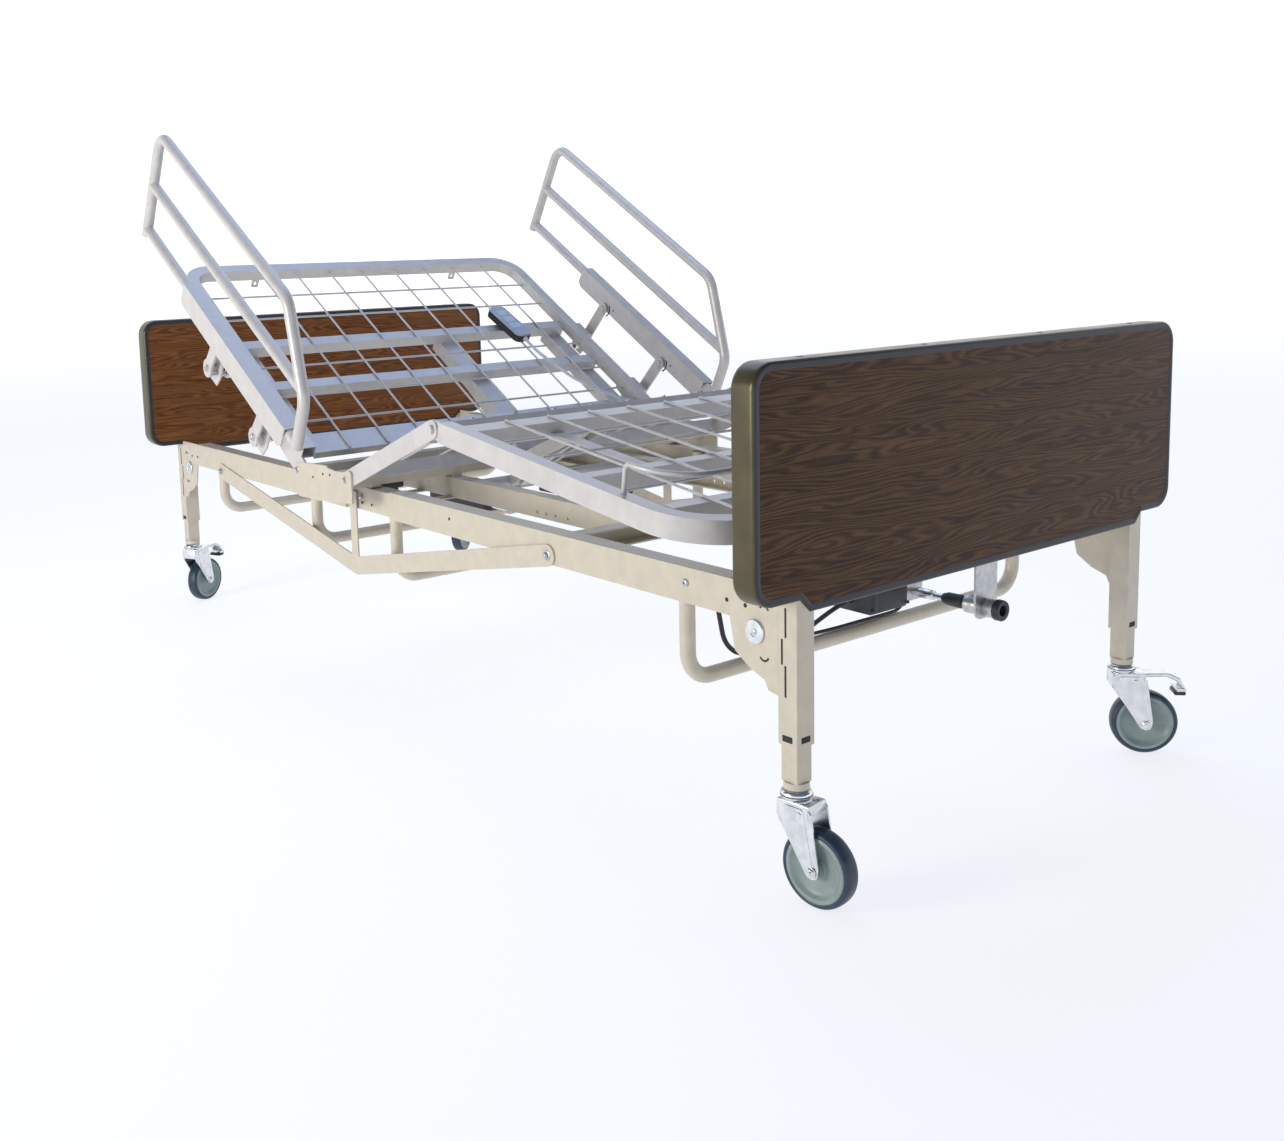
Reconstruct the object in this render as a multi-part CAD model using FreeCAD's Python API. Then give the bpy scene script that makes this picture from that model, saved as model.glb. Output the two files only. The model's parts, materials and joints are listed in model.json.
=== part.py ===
import FreeCAD, Part
import math
import os

# Adjustable hospital bed with a wide sprung deck, two half-length bed rails,
# wood-grain end boards and telescoping legs on swivel casters.
# Millimetres. +X to the right seen from the foot end, +Y from foot to head,
# +Z up. Floor at z = 0, Y = 0 midway between the outer faces of the boards.

V = FreeCAD.Vector
X_AXIS = V(1, 0, 0)
Y_AXIS = V(0, 1, 0)
Z_AXIS = V(0, 0, 1)

# ---- driving dimensions ----
BED_WIDTH = 1067.0          # width of the end boards
BED_LENGTH = 2272.4         # over the outer faces of the end boards
BOARD_THICK = 44.2
BOARD_TOP = 782.4
BOARD_CORNER_BOTTOM = 445.7
BOARD_MIDDLE_BOTTOM = 426.0
BOARD_CORNER_RADIUS = 38.0
EDGE_BAND = 6.0             # thickness of the metal edge trim

LEG_X = 429.25              # leg centre line from the middle
SLEEVE = 35.6               # outer square leg tube
SLEEVE_WALL = 2.5
SLEEVE_BOTTOM = 231.4
SLEEVE_TOP = 700.0
INNER_TUBE = 29.8           # telescoping square tube
INNER_BOTTOM = 177.0
INNER_TOP = 520.0
FIT_GAP = 0.3

WHEEL_RADIUS = 58.0
WHEEL_WIDTH = 30.0
TYRE_THICK = 9.0
CASTER_TRAIL = 40.0

RAIL_FACE = 447.0           # outer face of the side rails
RAIL_TOP = 455.0
RAIL_BOTTOM = 399.0
RAIL_FLANGE = 38.0
SHEET = 3.0

DECK_HALF = 510.0           # outer face of the deck sections
HEAD_PIVOT = (266.0, 478.5)
THIGH_PIVOT = (46.0, 482.0)
HEAD_ANGLE = 31.2
THIGH_ANGLE = 21.8
FOOT_ANGLE = 7.84
THIGH_LENGTH = 363.0
FOOT_LENGTH = 716.0
HEAD_LENGTH = 761.0         # pivot to the outer edge of the top bar
HEAD_TOP = 57.6             # top of the head frame above its pivot
WIRE_PITCH = 98.0
WIRE = 5.0

BED_RAIL_X = 587.0          # centre plane of the bed rails
TUBE = 25.4                 # bed rail and cross tube diameter
TUBE_WALL = 1.6

HALF_LENGTH = BED_LENGTH / 2
LEG_Y = HALF_LENGTH - BOARD_THICK / 2 - 0.4
ORIGIN_SHIFT = 15.55         # puts the origin midway along the bed, casters included


# ---- helpers ----
def box(x0, x1, y0, y1, z0, z1):
    return Part.makeBox(x1 - x0, y1 - y0, z1 - z0, V(x0, y0, z0))


def plate_yz(points, x0, x1):
    """Flat plate from an outline of (y, z) points, from x0 to x1."""
    wire = Part.makePolygon([V(x0, y, z) for y, z in points + points[:1]])
    return Part.Face(wire).extrude(V(x1 - x0, 0, 0))


def plate_xz(points, y0, y1):
    """Flat plate from an outline of (x, z) points, from y0 to y1."""
    wire = Part.makePolygon([V(x, y0, z) for x, z in points + points[:1]])
    return Part.Face(wire).extrude(V(0, y1 - y0, 0))


def rod_x(x0, x1, y, z, radius):
    return Part.makeCylinder(radius, x1 - x0, V(x0, y, z), X_AXIS)


def rod_y(x, y0, y1, z, radius):
    return Part.makeCylinder(radius, y1 - y0, V(x, y0, z), Y_AXIS)


def rod_z(x, y, z0, z1, radius):
    return Part.makeCylinder(radius, z1 - z0, V(x, y, z0), Z_AXIS)


def fuse(shapes):
    return shapes[0].multiFuse(shapes[1:]).removeSplitter() if len(shapes) > 1 else shapes[0]


def mirrored(shape):
    return shape.mirror(V(0, 0, 0), X_AXIS)


def both_sides(shape):
    return Part.makeCompound([shape, mirrored(shape)])


def route_wire(points, bend=None):
    """Straight runs joined by tangent arcs; returns the wire and its arc radii.

    bend lists one arc radius per corner, or is None for arcs as large as the
    two runs beside each corner allow.
    """
    pts = [V(*p) for p in points]
    edges = []
    radii = []
    start = pts[0]
    for i, (before, corner, after) in enumerate(zip(pts, pts[1:], pts[2:])):
        a = (before - corner).normalize()
        b = (after - corner).normalize()
        half_turn = (math.pi - a.getAngle(b)) / 2
        run = min((before - corner).Length, (after - corner).Length)
        radius = bend[i] if bend else 0.45 * run / math.tan(half_turn)
        setback = radius * math.tan(half_turn)
        enter = corner + a * setback
        leave = corner + b * setback
        inward = (a + b).normalize()
        middle = corner + inward * (radius / math.cos(half_turn) - radius)
        edges.append(Part.LineSegment(start, enter).toShape())
        edges.append(Part.Arc(enter, middle, leave).toShape())
        radii.append(radius)
        start = leave
    edges.append(Part.LineSegment(start, pts[-1]).toShape())
    return Part.Wire(edges), radii


def round_tube(points, radius, bend=None):
    path, _ = route_wire(points, bend)
    first = path.Edges[0]
    direction = first.tangentAt(first.FirstParameter)
    ring = Part.Wire(Part.makeCircle(radius, V(*points[0]), direction))
    return path.makePipeShell([ring], True, False)


def hollow_tube(points, radius, wall, bend):
    return round_tube(points, radius, bend).cut(round_tube(points, radius - wall, bend))


def on_section(shape, angle, pivot):
    """Turn a section drawn flat about its own pivot and seat it on the bed."""
    turned = shape.copy()
    turned.rotate(V(0, 0, 0), X_AXIS, angle)
    turned.translate(V(0, pivot[0], pivot[1]))
    return turned


def section_point(y, z, angle, pivot):
    a = math.radians(angle)
    return (pivot[0] + y * math.cos(a) - z * math.sin(a),
            pivot[1] + y * math.sin(a) + z * math.cos(a))


def on_head(shape):
    return on_section(shape, HEAD_ANGLE, HEAD_PIVOT)


def on_thigh(shape):
    return on_section(shape, -THIGH_ANGLE, THIGH_PIVOT)


KNEE_PIVOT = section_point(-THIGH_LENGTH, 0, -THIGH_ANGLE, THIGH_PIVOT)


def on_foot(shape):
    return on_section(shape, FOOT_ANGLE, KNEE_PIVOT)


# ---- end boards ----
def board_outline(inset):
    """Board outline in (x, z), rounded top corners and a lower middle part."""
    half = BED_WIDTH / 2 - inset
    top = BOARD_TOP - inset
    low = BOARD_CORNER_BOTTOM + inset
    middle = BOARD_MIDDLE_BOTTOM + inset
    step_in = LEG_X - 9.0
    step_out = LEG_X + 11.0
    flat = box(-half, half, 0, 1, low, top)
    upright = [e for e in flat.Edges if abs(e.tangentAt(0).y) > 0.9]
    rounded = flat.makeFillet(BOARD_CORNER_RADIUS - inset, upright)
    drop = plate_xz([(-step_out, low), (-step_in, middle), (step_in, middle),
                     (step_out, low), (step_out, low + 5), (-step_out, low + 5)], 0, 1)
    shape = rounded.fuse(drop).removeSplitter()
    face = [f for f in shape.Faces if abs(f.CenterOfMass.y) < 1e-6]
    return max(face, key=lambda f: f.Area)


def make_board(outer_y, inward):
    """Laminated core with pockets for the two legs, and its metal edge band."""
    face_recess = 1.2
    depth = BOARD_THICK
    full = board_outline(0).extrude(V(0, depth, 0))
    opening = board_outline(EDGE_BAND).extrude(V(0, depth, 0))
    core = board_outline(EDGE_BAND).extrude(V(0, depth - 2 * face_recess, 0))
    core.translate(V(0, face_recess, 0))
    band = full.cut(opening)
    start = outer_y if inward > 0 else outer_y - depth
    for shape in (core, band):
        shape.translate(V(0, start, 0))
    leg_y = math.copysign(LEG_Y, outer_y)
    pocket_half = SLEEVE / 2 + FIT_GAP
    for sign in (-1, 1):
        pocket = box(sign * LEG_X - pocket_half, sign * LEG_X + pocket_half,
                     leg_y - pocket_half, leg_y + pocket_half,
                     BOARD_MIDDLE_BOTTOM - 5, SLEEVE_TOP + FIT_GAP)
        core = core.cut(pocket)
        band = band.cut(pocket)
    return core, band


def square_tube(x, y, side, wall, z0, z1):
    half = side / 2
    inner = half - wall
    outer = box(x - half, x + half, y - half, y + half, z0, z1)
    return outer.cut(box(x - inner, x + inner, y - inner, y + inner, z0, z1))


def make_leg_sleeves(leg_y):
    tube = square_tube(LEG_X, leg_y, SLEEVE, SLEEVE_WALL, SLEEVE_BOTTOM, SLEEVE_TOP)
    return both_sides(tube)


# ---- fixed base frame ----
CROSS_TUBES = [(877.0, 294.0), (356.0, 294.0), (0.0, 270.0), (-885.0, 267.0)]
CROSS_TUBE_LEG_X = 426.0
CROSS_TUBE_TOP = 440.0


def c_channel(y0, y1, face, bottom, top, flange):
    """Folded channel along Y, open towards the middle of the bed."""
    web = box(face - SHEET, face, y0, y1, bottom, top)
    low = box(face - flange, face - SHEET, y0, y1, bottom, bottom + SHEET)
    high = box(face - flange, face - SHEET, y0, y1, top - SHEET, top)
    return fuse([web, low, high])


CORNER_PLATE_START = 998.0
LEG_INNER_FACE = LEG_Y - SLEEVE / 2


def corner_plate(sign):
    """Stepped hook plate between a side rail's end and its leg."""
    step_z = BOARD_CORNER_BOTTOM - 0.5
    step_y = HALF_LENGTH - BOARD_THICK - 0.5
    outline = [(CORNER_PLATE_START, RAIL_TOP), (step_y, RAIL_TOP), (step_y, step_z),
               (LEG_INNER_FACE - FIT_GAP, step_z), (LEG_INNER_FACE - FIT_GAP, 301.0), (1076.0, 305.0), (1070.0, 318.0),
               (1040.0, 329.0), (1010.0, 349.0), (CORNER_PLATE_START, 404.0)]
    return plate_yz([(sign * y, z) for y, z in outline], RAIL_FACE - SHEET, RAIL_FACE)


def tube_holes(rail):
    """Holes in a right-hand rail for the upright ends of the cross tubes."""
    for y, _ in CROSS_TUBES:
        hole = rod_z(CROSS_TUBE_LEG_X, y, RAIL_BOTTOM - 9, RAIL_BOTTOM + 9, TUBE / 2 + FIT_GAP)
        rail = rail.cut(hole)
    return rail


def make_head_rails():
    rail = c_channel(175.0, CORNER_PLATE_START, RAIL_FACE, RAIL_BOTTOM, RAIL_TOP, RAIL_FLANGE)
    splice = c_channel(-110.0, 270.0, RAIL_FACE - SHEET - 0.4, RAIL_BOTTOM + SHEET + 0.4,
                       RAIL_TOP - SHEET - 0.4, RAIL_FLANGE)
    rivet = rod_x(RAIL_FACE - SHEET - 1.0, RAIL_FACE - SHEET + 0.5, 230.0, 427.0, 6.0)
    return both_sides(tube_holes(fuse([rail, splice, rivet, corner_plate(1)])))


def make_foot_rails():
    rail = c_channel(-CORNER_PLATE_START, -13.0, RAIL_FACE, RAIL_BOTTOM, RAIL_TOP, RAIL_FLANGE)
    hole = rod_x(RAIL_FACE - 10, RAIL_FACE + 10, -240.0, 433.0, 3.2)
    return both_sides(tube_holes(fuse([rail, corner_plate(-1)]).cut(hole)))


TRUSS_APEX = (135.0, 277.0)
TRUSS_HEAD = (836.0, 402.0)
TRUSS_FOOT = (-556.0, 415.0)
TRUSS_DEPTH = 39.0


def strip(start, end, depth, x0, x1):
    """Straight flat bar between two (y, z) points, square across its ends."""
    length = math.hypot(end[0] - start[0], end[1] - start[1])
    ny = -(end[1] - start[1]) / length * depth / 2
    nz = (end[0] - start[0]) / length * depth / 2
    points = [(start[0] + ny, start[1] + nz), (end[0] + ny, end[1] + nz),
              (end[0] - ny, end[1] - nz), (start[0] - ny, start[1] - nz)]
    return plate_yz(points, x0, x1)


def truss_flange(start, end, depth):
    """Bottom flange of a truss member, turned under the side rail."""
    length = math.hypot(end[0] - start[0], end[1] - start[1])
    shift = depth / 2 - SHEET / 2
    ny = (end[1] - start[1]) / length * shift
    nz = -(end[0] - start[0]) / length * shift
    sign = 1 if nz < 0 else -1
    a = (start[0] + sign * ny, start[1] + sign * nz)
    b = (end[0] + sign * ny, end[1] + sign * nz)
    return strip(a, b, SHEET, RAIL_FACE - 13, RAIL_FACE + 1)


def between(a, b, t):
    return (a[0] + (b[0] - a[0]) * t, a[1] + (b[1] - a[1]) * t)


def make_trusses():
    """Shallow bolted truss under each side rail: two long bars and a post."""
    x0 = RAIL_FACE + FIT_GAP
    x1 = x0 + SHEET
    head_bar = strip(TRUSS_APEX, TRUSS_HEAD, TRUSS_DEPTH, x0, x1)
    foot_bar = strip(TRUSS_FOOT, TRUSS_APEX, TRUSS_DEPTH, x0, x1)
    boss = rod_x(x0, x1, TRUSS_FOOT[0], TRUSS_FOOT[1], TRUSS_DEPTH / 2)
    boss_head = rod_x(x0, x1, TRUSS_HEAD[0], TRUSS_HEAD[1], TRUSS_DEPTH / 2)
    post = box(x0, x1, 124.0, 152.0, 262.0, 440.0)
    knuckle = rod_x(x0, x1, TRUSS_APEX[0], TRUSS_APEX[1], TRUSS_DEPTH / 2)
    under_head = truss_flange(TRUSS_APEX, between(TRUSS_APEX, TRUSS_HEAD, 0.8), TRUSS_DEPTH)
    under_foot = truss_flange(between(TRUSS_APEX, TRUSS_FOOT, 0.8), TRUSS_APEX, TRUSS_DEPTH)
    return both_sides(fuse([head_bar, foot_bar, boss, boss_head, post, knuckle,
                            under_head, under_foot]))


def make_cross_tubes():
    """U-shaped tubes that hang from both side rails and cross under the bed."""
    tubes = []
    for y, z in CROSS_TUBES:
        points = [(-CROSS_TUBE_LEG_X, y, CROSS_TUBE_TOP), (-CROSS_TUBE_LEG_X, y, z),
                  (CROSS_TUBE_LEG_X, y, z), (CROSS_TUBE_LEG_X, y, CROSS_TUBE_TOP)]
        tubes.append(hollow_tube(points, TUBE / 2, TUBE_WALL, [46.0, 46.0]))
    return Part.makeCompound(tubes)


SEAT_FACE = 514.5
SEAT_SHEET = 4.0


def make_seat_plates():
    """Side plates of the fixed seat section, bored for the deck pivots."""
    outline = [(262.0, 422.0), (262.0, 494.0), (231.0, 499.0), (129.0, 503.0),
               (124.0, 499.0), (95.0, 496.0), (60.0, 497.0), (28.0, 503.0),
               (20.0, 498.0), (20.0, 436.0), (165.0, 424.0)]
    plate = plate_yz(outline, SEAT_FACE - SEAT_SHEET, SEAT_FACE)
    lobe = rod_x(SEAT_FACE - SEAT_SHEET, SEAT_FACE, HEAD_PIVOT[0], HEAD_PIVOT[1], 15.0)
    plate = plate.fuse(lobe).removeSplitter()
    for y, z in (HEAD_PIVOT, THIGH_PIVOT):
        plate = plate.cut(rod_x(SEAT_FACE - 10, SEAT_FACE + 10, y, z, 5.1))
    return both_sides(plate)


SEAT_CHANNELS = [(196.0, 226.0), (66.0, 96.0)]
SEAT_TOP = 495.0
SEAT_SOLE = 459.0
CENTRE_RAIL_X = 245.0
CENTRE_RAIL_FLANGE = 32.0
CENTRE_RAIL_BOTTOM = 408.0
CENTRE_RAIL_TOP = 452.0
TIE_Y = (64.0, 182.0)       # straps that carry the two deck drives
BEAM_END = 315.0            # head end of the centre channels
SPLICE_FLANGE_TOP = RAIL_BOTTOM + 2 * SHEET + 0.4
CABLE_HOLE = (-395.5, 432.0)  # X and Z of the cable hole in the last cross channel


def make_seat_frame():
    """Two cross channels of the seat and two long channels between the rails."""
    parts = []
    inner = SEAT_FACE - SEAT_SHEET
    beam_x = CENTRE_RAIL_X - CENTRE_RAIL_FLANGE / 2
    for y0, y1 in SEAT_CHANNELS:
        top = box(-inner, inner, y0, y1, SEAT_TOP - SHEET, SEAT_TOP)
        web = box(-inner, inner, y0, y0 + SHEET, SEAT_SOLE, SEAT_TOP - SHEET)
        sole = box(-inner, inner, y0, y1, SEAT_SOLE, SEAT_SOLE + SHEET)
        feet = [box(s * 432.0 - 12, s * 432.0 + 12, y0, y1, RAIL_TOP, SEAT_SOLE)
                for s in (-1, 1)]
        pads = [box(s * beam_x - 12, s * beam_x + 12, y0, y1, CENTRE_RAIL_TOP, SEAT_SOLE)
                for s in (-1, 1)]
        parts.append(fuse([top, web, sole] + feet + pads))
    for sign in (-1, 1):
        beam = c_channel(-560.0, BEAM_END, CENTRE_RAIL_X, CENTRE_RAIL_BOTTOM, CENTRE_RAIL_TOP,
                         CENTRE_RAIL_FLANGE)
        for y in (-250.0, -280.0, -310.0, -350.0):
            beam = beam.cut(rod_x(CENTRE_RAIL_X - 10, CENTRE_RAIL_X + 10, y, 420.0, 3.5))
        parts.append(beam if sign > 0 else mirrored(beam))
    for y in TIE_Y:
        parts.append(box(-430.0, 430.0, y, y + 30.0, SPLICE_FLANGE_TOP, CENTRE_RAIL_BOTTOM))
    reach = RAIL_FACE - SHEET - 0.4
    cross_web = box(-reach, reach, -563.4, -560.4, 415.0, 450.0)
    cross_web = cross_web.cut(rod_y(CABLE_HOLE[0], -570.0, -555.0, CABLE_HOLE[1], 12.0))
    cross_flanges = [box(-reach, reach, -594.0, -563.4, z, z + SHEET) for z in (415.0, 447.0)]
    parts.append(fuse([cross_web] + cross_flanges))
    return Part.makeCompound(parts)


def make_junction_box():
    """Black control box that stands on a strap inside the left side rail."""
    body = box(-404.0, -340.0, 130.0, 300.0, CENTRE_RAIL_BOTTOM, 443.0)
    return body.makeFillet(4.0, body.Edges)


# ---- height drive at the foot end ----
DRIVE_X = 105.0
DRIVE_Z = 318.0
SHAFT_RADIUS = 6.0
SHAFT_BORE = 6.06
HANGER_Y = (-936.0, -904.0)
FOOT_TIE_Z = RAIL_BOTTOM + SHEET


def make_height_motor():
    """Gear motor hung from a strap, with the bearing block of the drive shaft."""
    body = box(-70.0, 30.0, -950.0, -862.0, 312.0, 394.0)
    body = body.makeFillet(7.0, body.Edges)
    hanger = box(-45.0, 10.0, HANGER_Y[0], HANGER_Y[1], 388.0, FOOT_TIE_Z + 4)
    strap = box(-438.0, 438.0, HANGER_Y[0], HANGER_Y[1], FOOT_TIE_Z, FOOT_TIE_Z + 4)
    block = box(26.0, 124.0, -906.0, -894.0, 303.0, 334.0)
    block = block.cut(rod_y(DRIVE_X, -920.0, -880.0, DRIVE_Z, SHAFT_BORE))
    return fuse([body, hanger, strap, block])


def make_height_gearbox():
    """Gear head on a hanging plate, with the socket for the hand crank."""
    plate = box(DRIVE_X - 30, DRIVE_X + 30, -1052.0, -1048.0, 300.0, 436.0)
    cheek = box(DRIVE_X + 27, DRIVE_X + 30, -1048.0, -1022.0, 300.0, 436.0)
    socket = rod_y(DRIVE_X, -1080.0, -1014.0, DRIVE_Z, 16.0)
    cap = rod_y(DRIVE_X, -1086.0, -1072.0, DRIVE_Z, 18.0)
    beam = box(-RAIL_FACE + SHEET + 0.4, RAIL_FACE - SHEET - 0.4, -1062.0, -1032.0, 436.0, 440.0)
    lip = box(-RAIL_FACE + SHEET + 0.4, RAIL_FACE - SHEET - 0.4, -1036.0, -1032.0, 440.0, 452.0)
    bore = rod_y(DRIVE_X, -1078.0, -1000.0, DRIVE_Z, SHAFT_BORE)
    return fuse([plate, cheek, socket, cap, beam, lip]).cut(bore)


def make_drive_shaft():
    """Drive shaft with its coupling and a square end inside the socket."""
    shaft = rod_y(DRIVE_X, -1060.0, -888.0, DRIVE_Z, SHAFT_RADIUS)
    flat = rod_y(DRIVE_X, -1008.0, -966.0, DRIVE_Z, 12.0)
    coupling = rod_y(DRIVE_X, -946.0, -910.0, DRIVE_Z, 9.0)
    return fuse([shaft, flat, coupling])


CABLE = 8.0
THIN_CABLE = 6.0
RAIL_RUN = [(-397.0 + 3 * (i % 2), -790.0 + 92.0 * i, 436.0 - 4 * (i % 3)) for i in range(9)]
CABLE_A = ([(-70.6, -905, 336), (-112, -899, 322), (-156, -891, 300), (-208, -886, 284),
            (-268, -884, 284.5), (-318, -884, 286), (-346, -883, 312), (-352, -880, 352),
            (-356, -874, 394), (-376, -846, 423)] + RAIL_RUN + [(-388, 22, 434), (-378, 78, 426),
                                                                 (-374, 129.3, 424)])
CABLE_B = [(30.6, -884, 350), (66, -880, 348), (100, -879, 328), (108, -882, 300), (84, -884, 283.4),
           (36, -885, 283.2), (-26, -886, 284), (-88, -885, 283.4), (-146, -884, 285), (-190, -890, 291)]


def make_motor_cables():
    """Motor lead to the control box and a shorter limit-switch lead tied beside it."""
    return Part.makeCompound([round_tube(CABLE_A, CABLE / 2), round_tube(CABLE_B, THIN_CABLE / 2)])


# ---- legs and casters ----
LEGS = {"fl": (-1, -1), "fr": (1, -1), "hl": (-1, 1), "hr": (1, 1)}
CASTER_TURN = {"fl": -83.5, "fr": -46.6, "hl": 28.4, "hr": 36.0}
BRAKED = ("fr", "hl")


def leg_centre(name):
    sx, sy = LEGS[name]
    return sx * LEG_X, sy * LEG_Y


def make_inner_leg(name):
    """Telescoping leg tube with a plug that holds the caster stem."""
    x, y = leg_centre(name)
    tube = square_tube(x, y, INNER_TUBE, 2.0, INNER_BOTTOM, INNER_TOP)
    half = INNER_TUBE / 2 - 2.0
    plug = box(x - half, x + half, y - half, y + half, INNER_BOTTOM, INNER_BOTTOM + 45)
    collar = rod_z(x, y, INNER_BOTTOM - 10, INNER_BOTTOM, 19.0)
    leg = fuse([tube, plug, collar])
    return leg.cut(rod_z(x, y, INNER_BOTTOM - 12, INNER_BOTTOM + 40, 5.56))


def turned_caster(shape, name):
    """Turn a caster drawn with its wheel towards +X and put it under its leg."""
    x, y = leg_centre(name)
    out = shape.copy()
    out.rotate(V(0, 0, 0), Z_AXIS, CASTER_TURN[name])
    out.translate(V(x, y, 0))
    return out


FORK_TOP = INNER_BOTTOM - 10 - FIT_GAP
PEDAL_PIVOT = (20.0, 137.0)
PEDAL_PIN = 3.0


def make_fork():
    """Pressed fork with its kingpin and the wheel's axle bolt."""
    stem = rod_z(0, 0, FORK_TOP - 6, INNER_BOTTOM + 36, 5.5)
    crown_ring = rod_z(0, 0, FORK_TOP - 14, FORK_TOP, 20.0)
    crown = box(-21.0, 36.0, -22.0, 22.0, FORK_TOP - 18, FORK_TOP - 14)
    outline = [(-21.0, FORK_TOP - 18), (36.0, FORK_TOP - 18), (44.0, FORK_TOP - 32),
               (54.0, 66.0), (50.0, 48.0), (40.0, 44.0), (30.0, 50.0), (-4.0, 108.0),
               (-21.0, 132.0)]
    cheek = plate_xz(outline, 18.5, 22.0)
    other = plate_xz(outline, -22.0, -18.5)
    body = fuse([stem, crown_ring, crown, cheek, other])
    axle = Part.makeCylinder(4.0, 56.0, V(CASTER_TRAIL, -28.0, WHEEL_RADIUS), Y_AXIS)
    heads = [Part.makeCylinder(7.5, 5.0, V(CASTER_TRAIL, y, WHEEL_RADIUS), Y_AXIS)
             for y in (-28.0, 23.0)]
    pin = Part.makeCylinder(PEDAL_PIN, 44.0, V(PEDAL_PIVOT[0], -22.0, PEDAL_PIVOT[1]), Y_AXIS)
    return fuse([body, axle, pin] + heads)


def make_wheel():
    """Grey wheel centre with a dark tyre round it, bored for the axle."""
    centre = V(CASTER_TRAIL, -WHEEL_WIDTH / 2, WHEEL_RADIUS)
    rim = WHEEL_RADIUS - TYRE_THICK
    tyre = Part.makeCylinder(WHEEL_RADIUS, WHEEL_WIDTH, centre, Y_AXIS)
    corner = [e for e in tyre.Edges if isinstance(e.Curve, Part.Circle)]
    tyre = tyre.makeFillet(7.0, corner)
    hub = Part.makeCylinder(rim, WHEEL_WIDTH, centre, Y_AXIS)
    tyre = tyre.cut(hub)
    web_depth = 7.0
    dish = Part.makeCylinder(rim - 6, web_depth, centre, Y_AXIS)
    dish = dish.cut(Part.makeCylinder(13.0, web_depth, centre, Y_AXIS))
    far = dish.copy()
    far.translate(V(0, WHEEL_WIDTH - web_depth, 0))
    bore = Part.makeCylinder(4.05, 60.0, V(CASTER_TRAIL, -30.0, WHEEL_RADIUS), Y_AXIS)
    hub = hub.cut(dish).cut(far).cut(bore)
    return Part.makeCompound([hub, tyre])


def make_pedal():
    """Brake pedal over the wheel, hinged between the fork's cheeks."""
    x, z = PEDAL_PIVOT
    barrel = Part.makeCylinder(7.0, 34.0, V(x, -17.0, z), Y_AXIS)
    arm = plate_xz([(x, z + 6), (74.0, z + 10), (100.0, z + 4), (104.0, z - 12), (99.0, z - 13),
                    (94.0, z - 1), (72.0, z + 4), (x, z - 5)], -16.0, 16.0)
    tip = box(92.0, 108.0, -18.0, 18.0, z - 18, z - 12)
    bore = Part.makeCylinder(PEDAL_PIN + 0.06, 60.0, V(x, -30.0, z), Y_AXIS)
    return fuse([barrel, arm, tip]).cut(bore)


# ---- head section of the deck ----
SIDE_TUBE = 31.0            # width of the perimeter tube
SIDE_DEPTH = 28.0
PERIMETER_RADIUS = 78.0
TUBE_TOP = HEAD_TOP - 16.0  # top of the head cross tubes
HINGE_LUG = [(-16.0, -14.0), (70.0, -12.0), (165.0, 2.0), (165.0, 34.0), (-16.0, 34.0)]


def rounded_frame(half, length, corner, width, z0, z1, sign):
    """Flat U of rectangular section, open at y = 0, with rounded far corners."""
    def slab(inset):
        r = max(corner - inset, 1.0)
        h = half - inset
        far = length - inset
        body = box(-h, h, 0, far, z0, z1)
        edges = [e for e in body.Edges if abs(e.tangentAt(0).z) > 0.9
                 and e.CenterOfMass.y > far - 1]
        return body.makeFillet(r, edges)
    frame = slab(0).cut(slab(width))
    if sign < 0:
        frame = frame.mirror(V(0, 0, 0), Y_AXIS)
    return frame


def make_head_frame():
    """Perimeter tube of the head section with a hinge lug at each foot end."""
    z1 = HEAD_TOP
    frame = rounded_frame(DECK_HALF, HEAD_LENGTH, PERIMETER_RADIUS, SIDE_TUBE,
                          z1 - SIDE_DEPTH, z1, 1)
    hollow = rounded_frame(DECK_HALF - 2, HEAD_LENGTH - 2, PERIMETER_RADIUS - 2,
                           SIDE_TUBE - 4, z1 - SIDE_DEPTH + 2, z1 - 2, 1)
    frame = frame.cut(hollow)
    frame = frame.cut(box(-DECK_HALF - 5, DECK_HALF + 5, -5, 2, 0, 90))
    lug = plate_yz(HINGE_LUG, DECK_HALF - 4.0, DECK_HALF)
    lug = lug.fuse(rod_x(DECK_HALF - 4.0, DECK_HALF, 0, 0, 16.0)).removeSplitter()
    lug = lug.cut(rod_x(DECK_HALF - 10, DECK_HALF + 10, 0, 0, 5.06))
    loops = []
    for x in (-303.0, 303.0):
        loop = box(x - 9, x + 9, HEAD_LENGTH - 24, HEAD_LENGTH - 19, 4.0, z1 - SIDE_DEPTH)
        loops.append(loop.cut(box(x - 4, x + 4, HEAD_LENGTH - 30, HEAD_LENGTH, 8.0, 20.0)))
    return on_head(fuse([frame, lug, mirrored(lug)] + loops + make_rail_brackets()))


CORD_HOLE = (425.7, 24.5)   # where the hand control's cord drops through the hinge plate


def make_head_cross_members():
    """Two rectangular cross tubes and the wide plate by the hinge."""
    inner = DECK_HALF - SIDE_TUBE
    parts = []
    for y in (424.0, 254.0):
        tube = box(-inner, inner, y - 15, y + 15, TUBE_TOP - 27, TUBE_TOP)
        tube = tube.cut(box(-inner, inner, y - 13, y + 13, TUBE_TOP - 25, TUBE_TOP - 2))
        parts.append(tube)
    plate = box(-inner, inner, 0.0, 66.0, TUBE_TOP - 3, TUBE_TOP)
    lip = box(-inner, inner, 63.0, 66.0, TUBE_TOP - 24, TUBE_TOP - 3)
    front = box(-inner, inner, 0.0, 3.0, TUBE_TOP - 16, TUBE_TOP - 3)
    plate = plate.cut(rod_z(CORD_HOLE[0], CORD_HOLE[1], TUBE_TOP - 9, TUBE_TOP + 9, 8.0))
    parts.append(fuse([plate, lip, front]))
    return on_head(Part.makeCompound(parts + head_channels()))


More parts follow.
